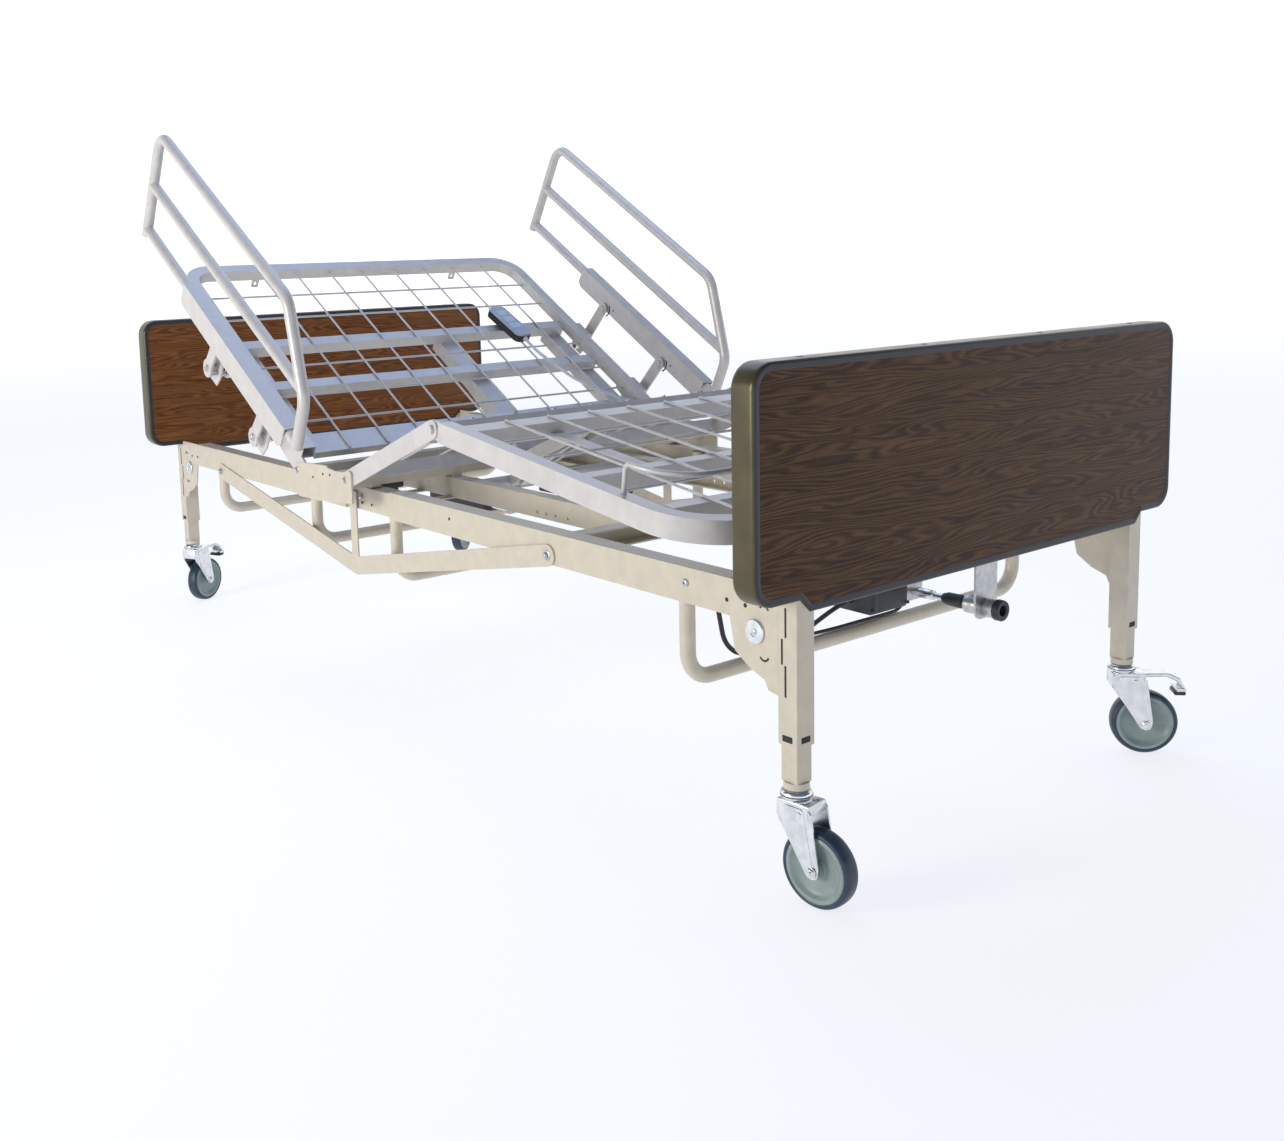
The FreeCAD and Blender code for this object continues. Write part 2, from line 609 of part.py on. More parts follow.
HEAD_CHANNELS = [(-455.0, 40.0), (105.0, 50.0), (455.0, 40.0)]
CHANNEL_TOP = TUBE_TOP - 27.0


def head_channels():
    """Folded channels under the cross tubes; the lift roller runs in the middle one."""
    parts = []
    for x, width in HEAD_CHANNELS:
        outer = box(x - width / 2, x + width / 2, 70.0, 436.0, CHANNEL_TOP - 34, CHANNEL_TOP)
        inner = box(x - width / 2 + 3, x + width / 2 - 3, 70.0, 436.0,
                    CHANNEL_TOP - 34, CHANNEL_TOP - 3)
        parts.append(outer.cut(inner))
    return parts


def wire_grid(lengthwise, y0, y1, crosswise, half, z):
    """Round wires both ways; the crosswise ones lie just under the long ones."""
    wires = [rod_y(x, y0, y1, z, WIRE / 2) for x in lengthwise]
    wires += [rod_x(-half, half, y, z - WIRE * 0.6, WIRE / 2) for y in crosswise]
    return fuse(wires)


WIRE_COLUMNS = [i * WIRE_PITCH for i in range(-4, 5)]


def make_head_wires():
    inner = DECK_HALF - SIDE_TUBE
    z = TUBE_TOP + WIRE / 2 + 0.2
    grid = wire_grid(WIRE_COLUMNS, 3.0, HEAD_LENGTH - SIDE_TUBE,
                     [113.0, 209.0, 326.0, 531.0, 632.0], inner, z)
    bars = [box(-inner, inner, y - 15.5, y + 15.5, 0, TUBE_TOP + 0.1) for y in (424.0, 254.0)]
    for bar in bars:
        grid = grid.cut(bar)
    return on_head(grid)


HANDSET_X = 286.0
HANDSET_Y = (338.0, 482.0)
HANDSET_BASE = HEAD_TOP - 8.0
KEYS = {"head": 448.0, "knee": 417.0, "height": 386.0}


def make_handset():
    """Hand control lying on the wires, with a hook below and wells for its keys."""
    y0, y1 = HANDSET_Y
    body = box(-27.0, 27.0, y0, y1, HANDSET_BASE, HANDSET_BASE + 25)
    upright = [e for e in body.Edges if abs(e.tangentAt(0).z) > 0.9]
    body = body.makeFillet(17.0, upright)
    for y in KEYS.values():
        body = body.cut(box(-17.3, 17.3, y - 12.3, y + 12.3, HANDSET_BASE + 17,
                            HANDSET_BASE + 30))
    hook = box(-13.0, 8.5, y1 - 42, y1 - 30, HANDSET_BASE - 7.7, HANDSET_BASE)
    socket = rod_y(0.0, y0 - 12, y0, HANDSET_BASE + 12, 7.0)
    return place_handset(fuse([body, hook, socket]))


def place_handset(shape):
    out = shape.copy()
    middle = sum(HANDSET_Y) / 2
    out.rotate(V(0, middle, 0), Z_AXIS, 6.0)
    out.translate(V(HANDSET_X, 0, 0))
    return on_head(out)


def make_key(y):
    key = box(-17.0, 17.0, y - 12.0, y + 12.0, HANDSET_BASE + 19.5, HANDSET_BASE + 26.5)
    pin_bore = rod_x(-18.0, 18.0, y, HANDSET_BASE + 23, 1.0)
    return place_handset(key.cut(pin_bore))


CORD = 8.0
CORD_ROUTE = [(293.4, 326.0, 61.6), (296, 300, 58), (306, 258, 56), (318, 212, 57), (330, 166, 55),
              (351, 124, 57), (377, 92, 55), (406, 62, 57), (424, 32, 50), (428, 14, 26)]


def cord_points():
    """The hand control's cord, in the bed's frame."""
    points = []
    for x, y, z in CORD_ROUTE:
        py, pz = section_point(y, z, HEAD_ANGLE, HEAD_PIVOT)
        points.append((x, py, pz))
    return points


def make_handset_cord():
    return round_tube(cord_points(), CORD / 2)


def make_cord_socket():
    """Plug-in box under the head section's hinge plate that the cord runs into."""
    body = box(402.0, 456.0, 4.0, 60.0, TUBE_TOP - 45, TUBE_TOP - 24.5)
    gland = rod_z(428.0, 14.0, TUBE_TOP - 24.5, TUBE_TOP - 18.6, 7.0)
    return on_head(fuse([body, gland]))


# ---- lift arms and their rams ----
HEAD_SHAFT = (292.0, 442.0)
HEAD_ARM = 300.0
HEAD_ARM_ANGLE = 37.57
HEAD_ARM_X = 105.0
KNEE_SHAFT = (30.0, 430.0)
KNEE_ARM = 260.0
KNEE_ARM_ANGLE = 26.65
LEVER = 62.0


def lift_arm(shaft, arm, angle, centre_x, towards, lever_turn):
    """Cross shaft with a roller arm and a forked lever for the ram."""
    y, z = shaft
    direction = math.radians(angle)
    tip = (y + towards * arm * math.cos(direction), z + arm * math.sin(direction))
    half_shaft = CENTRE_RAIL_X - SHEET - 34.0
    shapes = [rod_x(-half_shaft, half_shaft, y, z, 12.0)]
    cheeks = [strip((y, z), tip, 22.0, centre_x + dx, centre_x + dx + 5) for dx in (-16, 11)]
    ends = [rod_x(centre_x + dx, centre_x + dx + 5, tip[0], tip[1], 11.0) for dx in (-16, 11)]
    roller = rod_x(centre_x - 11, centre_x + 11, tip[0], tip[1], 14.5)
    down = math.radians(lever_turn)
    lever_tip = (y + LEVER * math.sin(down), z - LEVER * math.cos(down))
    levers = [strip((y, z), lever_tip, 22.0, centre_x + dx, centre_x + dx + 5)
              for dx in (-16, 11)]
    rounds = [rod_x(centre_x + dx, centre_x + dx + 5, lever_tip[0], lever_tip[1], 11.0)
              for dx in (-16, 11)]
    return fuse(shapes + cheeks + ends + [roller] + levers + rounds)


def make_head_lift_arm():
    return lift_arm(HEAD_SHAFT, HEAD_ARM, HEAD_ARM_ANGLE, HEAD_ARM_X, 1, 0.0)


def make_knee_lift_arm():
    return lift_arm(KNEE_SHAFT, KNEE_ARM, KNEE_ARM_ANGLE, -HEAD_ARM_X, -1, 0.0)


def shaft_bearings(shaft):
    """Pair of bored bearing plates between a lift shaft and the centre channels."""
    plates = []
    half_shaft = CENTRE_RAIL_X - SHEET - 34.0
    for sign in (-1, 1):
        x = sign * (half_shaft - 8)
        plate = box(x - 3, x + 3, shaft[0] - 20, shaft[0] + 20, CENTRE_RAIL_BOTTOM + SHEET,
                    shaft[1] + 18)
        toe = sign * (CENTRE_RAIL_X - SHEET - FIT_GAP)
        sole = CENTRE_RAIL_BOTTOM + SHEET
        foot = box(min(x, toe), max(x, toe), shaft[0] - 20, shaft[0] + 20, sole, sole + 4)
        plates.append(plate.fuse(foot).cut(rod_x(x - 9, x + 9, shaft[0], shaft[1], 12.08)))
    return plates


RAM_RADIUS = 10.0


def make_ram(shaft, centre_x, towards):
    """Push rod of a drive, reaching from its housing to the forked lever."""
    y = shaft[0]
    z = shaft[1] - LEVER
    eye = rod_x(centre_x - 9, centre_x + 9, y, z, 11.0)
    far = y - towards * 170.0
    rod = rod_y(centre_x, min(y, far), max(y, far), z, RAM_RADIUS)
    return fuse([eye, rod])


def make_drive_housing(shaft, centre_x, towards, tray_y):
    """Drive housing with a bored nose for its push rod, and its gear motor."""
    z = shaft[1] - LEVER
    near = shaft[0] - towards * 92.0
    far = shaft[0] - towards * 330.0
    y0, y1 = min(near, far), max(near, far)
    tube = box(centre_x - 19, centre_x + 19, y0, y1, z - 19, z + 19)
    tube = tube.makeFillet(5.0, tube.Edges)
    motor_y = far + towards * 40.0
    motor = Part.makeCylinder(24.0, 80.0, V(centre_x + 14, motor_y, z), X_AXIS)
    tray = box(centre_x - 22, centre_x + 22, tray_y, tray_y + 30, z + 17, SPLICE_FLANGE_TOP)
    mouth, end = near + towards * 10, far + towards * 6
    bore = rod_y(centre_x, min(mouth, end), max(mouth, end), z, RAM_RADIUS + FIT_GAP)
    return fuse([tube, motor, tray]).cut(bore)


# ---- thigh and foot sections ----
MEMBER = 36.0               # height of the side members of the thigh and foot sections
KNEE_WEB = 3.5
KNEE_TRACK_ROOF = -15.2     # underside of the knee roller's track


def make_thigh_frame():
    """Two side bars, a cross angle at the knee and the channel for the knee roller."""
    x0 = DECK_HALF - KNEE_WEB
    bar = strip((0, 0), (-THIGH_LENGTH, 0), MEMBER, x0, DECK_HALF)
    bar = bar.fuse(rod_x(x0, DECK_HALF, 0, 0, MEMBER / 2))
    bar = bar.fuse(rod_x(x0, DECK_HALF, -THIGH_LENGTH, 0, MEMBER / 2)).removeSplitter()
    flange = box(DECK_HALF - 30, x0, -THIGH_LENGTH + 26, -18.0, MEMBER / 2 - SHEET, MEMBER / 2)
    bar = bar.fuse(flange).removeSplitter()
    bar = bar.cut(rod_x(x0 - 5, DECK_HALF + 5, 0, 0, 5.06))
    bar = bar.cut(rod_x(x0 - 5, DECK_HALF + 5, -THIGH_LENGTH, 0, 5.06))
    parts = [bar, mirrored(bar)]
    inner = DECK_HALF - 30 + 2
    for y in (-THIGH_LENGTH + 30, -40.0):
        cross = box(-inner, inner, y, y + 26, MEMBER / 2 - SHEET, MEMBER / 2)
        web = box(-inner, inner, y, y + SHEET, MEMBER / 2 - 28, MEMBER / 2 - SHEET)
        parts.append(cross)
        parts.append(web)
    x = -HEAD_ARM_X
    roof = KNEE_TRACK_ROOF
    track = box(x - 25, x + 25, -THIGH_LENGTH + 36, -60.0, roof - 26, roof + SHEET)
    track = track.cut(box(x - 22, x + 22, -THIGH_LENGTH + 36, -60.0, roof - 26, roof))
    hangers = [box(x - 25, x + 25, y0, y1, roof + SHEET, MEMBER / 2 - SHEET)
               for y0, y1 in ((-THIGH_LENGTH + 36, -THIGH_LENGTH + 52), (-76.0, -60.0))]
    strap = box(x - 25, x + 25, -76.0, -14.0, MEMBER / 2 - 2 * SHEET, MEMBER / 2 - SHEET)
    hangers.append(strap)
    wires = [rod_y(wx, -THIGH_LENGTH + 34, -16.0, MEMBER / 2 + WIRE / 2 - 0.4, WIRE / 2)
             for wx in WIRE_COLUMNS]
    cross_wire = rod_x(-inner, inner, -THIGH_LENGTH / 2, MEMBER / 2 - 0.6, WIRE / 2)
    return on_thigh(fuse(parts + [track] + hangers + wires + [cross_wire]))


FOOT_CORNER = 120.0
FOOT_FLANGE = 30.0
FOOT_HOOK_WEBS = [(62.0, 106.0), (407.0, 432.0), (598.0, 622.0)]


def make_foot_frame():
    """Folded angle that runs round the foot section, with three cross angles."""
    top = MEMBER / 2
    bottom = -20.0
    skirt = rounded_frame(DECK_HALF, FOOT_LENGTH, FOOT_CORNER, SHEET, bottom, top, -1)
    flange = rounded_frame(DECK_HALF, FOOT_LENGTH, FOOT_CORNER, FOOT_FLANGE,
                           top - SHEET, top, -1)
    frame = skirt.fuse(flange)
    frame = frame.cut(box(-DECK_HALF - 5, DECK_HALF + 5, -22.0, 5.0, bottom - 5, top + 5))
    x0 = DECK_HALF - KNEE_WEB - FIT_GAP - KNEE_WEB
    x1 = x0 + KNEE_WEB
    ear = strip((0, 0), (-70.0, 0), MEMBER, x0, x1)
    ear = ear.fuse(rod_x(x0, x1, 0, 0, MEMBER / 2))
    bridge = box(x0, DECK_HALF, -70.0, -24.0, -18.0, 12.0)
    ear = ear.fuse(bridge).removeSplitter().cut(rod_x(x0 - 5, DECK_HALF + 5, 0, 0, 5.06))
    parts = [frame, ear, mirrored(ear)]
    inner = DECK_HALF - FOOT_FLANGE + 1
    for y0, y1 in FOOT_HOOK_WEBS:
        reach = inner if y1 < FOOT_LENGTH - FOOT_CORNER else inner - 8
        parts.append(box(-reach, reach, -y1, -y0, top - SHEET, top))
        parts.append(box(-reach, reach, -y1, -y1 + SHEET, top - 31, top - SHEET))
    for x in (-300.0, 300.0):
        parts.append(box(x - 15, x + 15, -FOOT_HOOK_WEBS[1][0], -FOOT_HOOK_WEBS[0][1],
                         top - 24, top - 21))
        for y in (-FOOT_HOOK_WEBS[1][0] - 4, -FOOT_HOOK_WEBS[0][1]):
            parts.append(box(x - 15, x + 15, y, y + 4, top - 24, top - SHEET))
    return on_foot(fuse(parts))


def make_foot_wires():
    top = MEMBER / 2
    start = -(FOOT_HOOK_WEBS[0][0] + 6)
    end = -(FOOT_LENGTH - FOOT_FLANGE + 14)
    z = top + WIRE / 2 + 0.2
    wires = [rod_y(x, end, start, z, WIRE / 2) for x in WIRE_COLUMNS]
    reach = DECK_HALF - FOOT_FLANGE - 2
    for y in (-190.0, -300.0, -515.0):
        wires.append(rod_x(-reach, reach, y, z - WIRE * 0.6, WIRE / 2))
    return on_foot(fuse(wires))


KEEPER_X = 488.0
KEEPER_HEIGHT = 66.0
KEEPER_Y = (-524.0, -628.0)
KEEPER_BENDS = [12.0, 84.0, 84.0, 12.0]


def make_mattress_keeper():
    """Bent rod that stands over the foot end and keeps the mattress in place."""
    start, far = KEEPER_Y
    points = [(-KEEPER_X, start, MEMBER / 2), (-KEEPER_X, start, KEEPER_HEIGHT),
              (-KEEPER_X, far, KEEPER_HEIGHT), (KEEPER_X, far, KEEPER_HEIGHT),
              (KEEPER_X, start, KEEPER_HEIGHT), (KEEPER_X, start, MEMBER / 2)]
    return on_foot(round_tube(points, 4.5, KEEPER_BENDS))


# ---- bed rails ----
RAIL_TOP_V = 401.6          # heights above the head pivot, in the head section's frame
RAIL_MID_V = 268.5
RAIL_LOW_V = 151.0
RAIL_BENDS = [42.0, 60.0, 60.0]
ARM_LOW = ((398.0, 2.6), (126.0, 2.6))
ARM_HIGH = ((372.0, 119.0), (100.0, 119.0))
ARM_THICK = 5.0
ARM_X = BED_RAIL_X - 22.0


def make_half_rail(sign):
    """Three-bar tube rail with its folded lower channel."""
    x = sign * BED_RAIL_X
    radius = TUBE / 2
    outer = [(x, 790.0, 133.0), (x, 796.0, RAIL_TOP_V), (x, 66.0, RAIL_TOP_V),
             (x, -84.0, 252.0), (x, -96.0, 142.0)]
    middle = [(x, 796.0 - 6, RAIL_MID_V), (x, -74.0, RAIL_MID_V)]
    lower = [(x, 790.0 - 4, RAIL_LOW_V), (x, -90.0, RAIL_LOW_V)]
    solid = fuse([round_tube(outer, radius, RAIL_BENDS), rod_y(x, -66.0, 790.0, RAIL_MID_V, radius),
                  rod_y(x, -92.0, 788.0, RAIL_LOW_V, radius)])
    void = fuse([round_tube(outer, radius - TUBE_WALL, RAIL_BENDS)]
                + [rod_y(x, b[1] + 2, a[1] - 2, a[2], radius - TUBE_WALL)
                   for a, b in (middle, lower)])
    frame = solid.cut(void)
    face = x + sign * (radius + 2.0)
    inside = x - sign * (radius + 2.0)
    outline = [(-60.0, 124.0), (-48.0, 114.0), (496.0, 114.0), (510.0, 124.0), (510.0, 166.0),
               (-60.0, 166.0)]
    web = plate_yz(outline, min(inside, inside - sign * 2.5), max(inside, inside - sign * 2.5))
    cover = plate_yz(outline, min(face, face + sign * 2.5), max(face, face + sign * 2.5))
    left = min(inside - sign * 2.5, face + sign * 2.5)
    right = max(inside - sign * 2.5, face + sign * 2.5)
    ridge = box(left, right, -60.0, 510.0, 164.0, 166.5)
    channel = fuse([web, cover, ridge])
    stub_end = sign * (ARM_X - ARM_THICK - FIT_GAP)
    head_end = stub_end - sign * 4.0
    stubs = [rod_x(min(stub_end, inside), max(stub_end, inside), y, z, 6.0) for y, z in ARM_HIGH]
    stubs += [rod_x(min(stub_end, head_end), max(stub_end, head_end), y, z, 9.0)
              for y, z in ARM_HIGH]
    return on_head(Part.makeCompound([frame, fuse([channel.cut(solid)] + stubs)]))


def make_rail_arm(sign, index):
    """Flat swing arm between the head section's side tube and a bed rail."""
    low = ARM_LOW[index]
    high = ARM_HIGH[index]
    x0 = min(sign * ARM_X, sign * (ARM_X - ARM_THICK))
    x1 = max(sign * ARM_X, sign * (ARM_X - ARM_THICK))
    arm = strip(low, high, 32.0, x0, x1)
    arm = fuse([arm, rod_x(x0, x1, low[0], low[1], 22.0), rod_x(x0, x1, high[0], high[1], 16.0)])
    bore = 6.06 if index == 0 else 6.3
    arm = arm.cut(rod_x(x0 - 5, x1 + 5, high[0], high[1], bore))
    arm = arm.cut(rod_x(x0 - 5, x1 + 5, low[0], low[1], 8.06))
    return on_head(arm)


BRACKET_X = 545.0
BRACKET_THICK = 4.0
LATCHES = ((380.0, -6.0), (136.0, -14.0))
LATCH_PIN = 5.0


def make_rail_brackets():
    """Cranked brackets on the head section's side tubes.

    Each carries the stub of a swing arm and is bored for a locking pin.
    """
    parts = []
    for (y, z), (pin_y, pin_z) in zip(ARM_LOW, LATCHES):
        shelf = box(DECK_HALF - 2, BRACKET_X, y - 34, y + 26, 36.0, 40.0)
        plate = plate_yz([(y - 34, 40.0), (y - 34, -4.0), (y - 22, -34.0), (y + 22, -34.0),
                          (y + 26, -4.0), (y + 26, 40.0)], BRACKET_X - BRACKET_THICK, BRACKET_X)
        stub = rod_x(BRACKET_X - BRACKET_THICK, ARM_X + 3.0, y, z, 8.0)
        washer = rod_x(BRACKET_X, ARM_X - ARM_THICK - FIT_GAP, y, z, 11.0)
        pin_bore = rod_x(BRACKET_X - 10, BRACKET_X + 10, pin_y, pin_z, LATCH_PIN + 0.06)
        parts.append(fuse([shelf, plate, stub, washer]).cut(pin_bore))
    return parts + [mirrored(p) for p in parts]


def make_rail_latch(sign, index):
    """Sprung locking pin with a pull knob behind its bracket."""
    y, z = LATCHES[index]
    pin = rod_x(BRACKET_X - 22, ARM_X - ARM_THICK - 1.2, y, z, LATCH_PIN)
    spring = rod_x(BRACKET_X - 20, BRACKET_X - BRACKET_THICK - 12.6, y, z, 7.5)
    knob = rod_x(BRACKET_X - 31, BRACKET_X - 20, y, z, 9.5)
    shape = fuse([pin, spring, knob])
    return on_head(shape if sign > 0 else mirrored(shape))


# ---- fasteners ----
def pivot_bolt(y, z, x0, x1):
    """Shoulder bolt along X with a domed head outside and a nut inside."""
    shank = rod_x(x0, x1, y, z, 5.0)
    head = rod_x(x1, x1 + 5.0, y, z, 8.5)
    nut = rod_x(x0 - 5.0, x0, y, z, 8.0)
    return fuse([shank, head, nut])


def make_frame_bolts():
    """Deck pivot bolts, corner locks and the bolts that hold the trusses."""
    parts = []
    for y, z in (HEAD_PIVOT, THIGH_PIVOT):
        parts.append(pivot_bolt(y, z, DECK_HALF - 4.6, SEAT_FACE + 0.2))
    face = RAIL_FACE + FIT_GAP + SHEET + 0.2
    for y, z in (TRUSS_FOOT, TRUSS_HEAD):
        parts.append(rod_x(face, face + 6.0, y, z, 9.0))
    for y in (-906.0, -1040.0, 110.0):
        parts.append(rod_x(RAIL_FACE + 0.2, RAIL_FACE + 4.0, y, 431.0, 6.0))
    for sign in (-1, 1):
        disc = rod_x(RAIL_FACE + 0.2, RAIL_FACE + 4.0, sign * 1052.0, 386.0, 18.0)
        boss = rod_x(RAIL_FACE + 4.0, RAIL_FACE + 7.0, sign * 1052.0, 386.0, 6.0)
        parts.append(disc.fuse(boss))
    return Part.makeCompound(parts + [mirrored(p) for p in parts])


def make_knee_bolts():
    """Knee pivot bolts, carried by the foot section."""
    y, z = KNEE_PIVOT
    bolt = pivot_bolt(y, z, DECK_HALF - 2 * KNEE_WEB - 0.6, DECK_HALF + 0.3)
    return both_sides(bolt)


# ---- build ----
def write(name, shape):
    shape.translate(V(0, ORIGIN_SHIFT, 0))
    shape.exportStep(os.path.join("parts", name + ".step"))
    solids = shape.Solids
    volume = sum(s.Volume for s in solids)
    print("%-22s solids %d volume %.0f valid %s" % (name, len(solids), volume, shape.isValid()))


def main():
    os.makedirs("parts", exist_ok=True)
    foot_core, foot_band = make_board(-HALF_LENGTH, 1)
    head_core, head_band = make_board(HALF_LENGTH, -1)
    write("foot_board", foot_core)
    write("foot_board_edge", foot_band)
    write("head_board", head_core)
    write("head_board_edge", head_band)
    write("leg_sleeves", Part.makeCompound([make_leg_sleeves(-LEG_Y), make_leg_sleeves(LEG_Y)]))
    write("head_rails", make_head_rails())
    write("foot_rails", make_foot_rails())
    write("trusses", make_trusses())
    write("cross_tubes", make_cross_tubes())
    write("seat_plates", make_seat_plates())
    bearings = shaft_bearings(HEAD_SHAFT) + shaft_bearings(KNEE_SHAFT)
    write("seat_frame", Part.makeCompound([make_seat_frame()] + bearings))
    write("junction_box", make_junction_box())
    write("height_motor", make_height_motor())
    write("height_gearbox", make_height_gearbox())
    write("drive_shaft", make_drive_shaft())
    write("motor_cables", make_motor_cables())
    write("frame_bolts", make_frame_bolts())
    for name in LEGS:
        write("inner_leg_" + name, make_inner_leg(name))
        write("caster_fork_" + name, turned_caster(make_fork(), name))
        write("wheel_" + name, turned_caster(make_wheel(), name))
    for name in BRAKED:
        write("brake_pedal_" + name, turned_caster(make_pedal(), name))
    write("head_frame", make_head_frame())
    write("head_cross_members", make_head_cross_members())
    write("head_wires", make_head_wires())
    write("handset", make_handset())
    for name, y in KEYS.items():
        write("handset_key_" + name, make_key(y))
    write("handset_cord", make_handset_cord())
    write("cord_socket", make_cord_socket())
    write("head_lift_arm", make_head_lift_arm())
    write("knee_lift_arm", make_knee_lift_arm())
    write("head_drive", make_drive_housing(HEAD_SHAFT, HEAD_ARM_X, 1, TIE_Y[0]))
    write("knee_drive", make_drive_housing(KNEE_SHAFT, -HEAD_ARM_X, -1, TIE_Y[1]))
    write("head_ram", make_ram(HEAD_SHAFT, HEAD_ARM_X, 1))
    write("knee_ram", make_ram(KNEE_SHAFT, -HEAD_ARM_X, -1))
    write("thigh_frame", make_thigh_frame())
    write("foot_frame", Part.makeCompound([make_foot_frame(), make_knee_bolts()]))
    write("foot_wires", make_foot_wires())
    write("mattress_keeper", make_mattress_keeper())
    for side, sign in (("left", -1), ("right", 1)):
        write("bed_rail_" + side, make_half_rail(sign))
        write("rail_arm_head_" + side, make_rail_arm(sign, 0))
        write("rail_arm_foot_" + side, make_rail_arm(sign, 1))
        write("rail_latch_head_" + side, make_rail_latch(sign, 0))
        write("rail_latch_foot_" + side, make_rail_latch(sign, 1))
    cord_wire, cord_radii = route_wire(cord_points())
    cable_wire, cable_radii = route_wire(CABLE_A)
    print("cord length %.0f least radius %.0f" % (cord_wire.Length, min(cord_radii)))
    print("cable length %.0f least radius %.0f" % (cable_wire.Length, min(cable_radii)))


main()
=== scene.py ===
import json
import math

import bmesh
import bpy
from mathutils import Matrix, Vector


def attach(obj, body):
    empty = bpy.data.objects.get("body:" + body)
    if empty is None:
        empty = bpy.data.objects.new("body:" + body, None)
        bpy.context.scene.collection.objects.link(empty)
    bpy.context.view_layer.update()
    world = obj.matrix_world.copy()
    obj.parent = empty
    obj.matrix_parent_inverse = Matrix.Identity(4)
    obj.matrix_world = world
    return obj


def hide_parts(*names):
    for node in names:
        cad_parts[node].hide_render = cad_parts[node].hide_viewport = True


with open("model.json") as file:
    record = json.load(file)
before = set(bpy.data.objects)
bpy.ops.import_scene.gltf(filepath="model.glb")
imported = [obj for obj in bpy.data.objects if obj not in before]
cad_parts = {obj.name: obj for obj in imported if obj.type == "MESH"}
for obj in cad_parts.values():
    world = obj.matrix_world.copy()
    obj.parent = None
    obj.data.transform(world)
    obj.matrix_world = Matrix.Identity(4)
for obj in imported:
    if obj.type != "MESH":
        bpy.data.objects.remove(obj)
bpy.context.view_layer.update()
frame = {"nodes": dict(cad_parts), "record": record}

# Object frame: +X right seen from the foot end, +Y from foot to head, +Z up, metres.
NODES = frame["nodes"]

ORIGIN_SHIFT = 0.01555
# Pieces are drawn with Y counted from midway between the end boards.
ORIGIN = Matrix.Translation((0, ORIGIN_SHIFT, 0))

# ---- camera ----
CAMERA_AT = Vector((-1.7813, -2.3653, 0.9349))
CAMERA_YAW = -37.27
CAMERA_PITCH = 7.73
CAMERA_ROLL = -1.58
CAMERA_LENS = 37.262
CAMERA_SHIFT = (0.0604, -0.1082)


def add_camera():
    yaw = math.radians(CAMERA_YAW)
    pitch = math.radians(CAMERA_PITCH)
    roll = math.radians(CAMERA_ROLL)
    ahead = Vector((-math.sin(yaw) * math.cos(pitch), math.cos(yaw) * math.cos(pitch),
                    -math.sin(pitch)))
    right = Vector((math.cos(yaw), math.sin(yaw), 0))
    up = right.cross(ahead)
    turned_right = right * math.cos(roll) + up * math.sin(roll)
    turned_up = up * math.cos(roll) - right * math.sin(roll)
    data = bpy.data.cameras.new("camera")
    data.sensor_fit = "HORIZONTAL"
    data.sensor_width = 36.0
    data.lens = CAMERA_LENS
    data.shift_x, data.shift_y = CAMERA_SHIFT
    data.clip_start = 0.05
    data.clip_end = 60
    camera = bpy.data.objects.new("camera", data)
    axes = Matrix((turned_right, turned_up, -ahead)).transposed()
    camera.matrix_world = ORIGIN @ Matrix.Translation(CAMERA_AT) @ axes.to_4x4()
    bpy.context.collection.objects.link(camera)
    bpy.context.scene.camera = camera


add_camera()

# ---- raised head section's own frame: hinge line (y, z) in metres and angle ----
HEAD_PIVOT = (0.266, 0.4785)
HEAD_ANGLE = 31.2
ON_HEAD = (Matrix.Translation((0, HEAD_PIVOT[0], HEAD_PIVOT[1]))
           @ Matrix.Rotation(math.radians(HEAD_ANGLE), 4, "X"))
HERE = Matrix.Identity(4)

# ---- hand control's cord, which comes first ----
CORD_DIAMETER = 0.008
CORD_ROUTE = [(293.4, 326.0, 61.6), (296, 300, 58), (306, 258, 56), (318, 212, 57), (330, 166, 55),
              (351, 124, 57), (377, 92, 55), (406, 62, 57), (424, 32, 50), (428, 14, 26)]


def add_cord():
    points = [ORIGIN @ ON_HEAD @ (Vector(p) / 1000) for p in CORD_ROUTE]
    data = bpy.data.curves.new("cord_line", "CURVE")
    data.dimensions = "3D"
    data.bevel_depth = CORD_DIAMETER / 2
    data.bevel_resolution = 6
    data.resolution_u = 12
    data.use_fill_caps = True
    spline = data.splines.new("NURBS")
    spline.points.add(len(points) - 1)
    for point, at in zip(spline.points, points):
        point.co = (at.x, at.y, at.z, 1)
    spline.order_u = 3
    spline.use_endpoint_u = True
    cord = bpy.data.objects.new("handset_lead", data)
    bpy.context.collection.objects.link(cord)
    return cord, points


# ---- materials ----
GRAIN_SCALE = 900.0
TONE_EDGES = (0.3, 0.7)


def new_material(name):
    material = bpy.data.materials.new(name)
    material.use_nodes = True
    tree = material.node_tree
    shader = tree.nodes["Principled BSDF"]
    return material, tree, shader


def add_node(tree, kind, **inputs):
    node = tree.nodes.new(kind)
    for key, value in inputs.items():
        node.inputs[key.replace("_", " ")].default_value = value
    return node


def object_coords(tree, scale=(1, 1, 1)):
    coords = tree.nodes.new("ShaderNodeTexCoord")
    mapping = tree.nodes.new("ShaderNodeMapping")
    mapping.inputs["Scale"].default_value = scale
    tree.links.new(coords.outputs["Object"], mapping.inputs["Vector"])
    return mapping.outputs["Vector"]


def colour_ramp(tree, source, stops):
    ramp = tree.nodes.new("ShaderNodeValToRGB")
    elements = ramp.color_ramp.elements
    while len(elements) < len(stops):
        elements.new(0.5)
    for element, (at, colour) in zip(elements, stops):
        element.position = at
        element.color = (*colour, 1)
    tree.links.new(source, ramp.inputs["Fac"])
    return ramp.outputs["Color"]


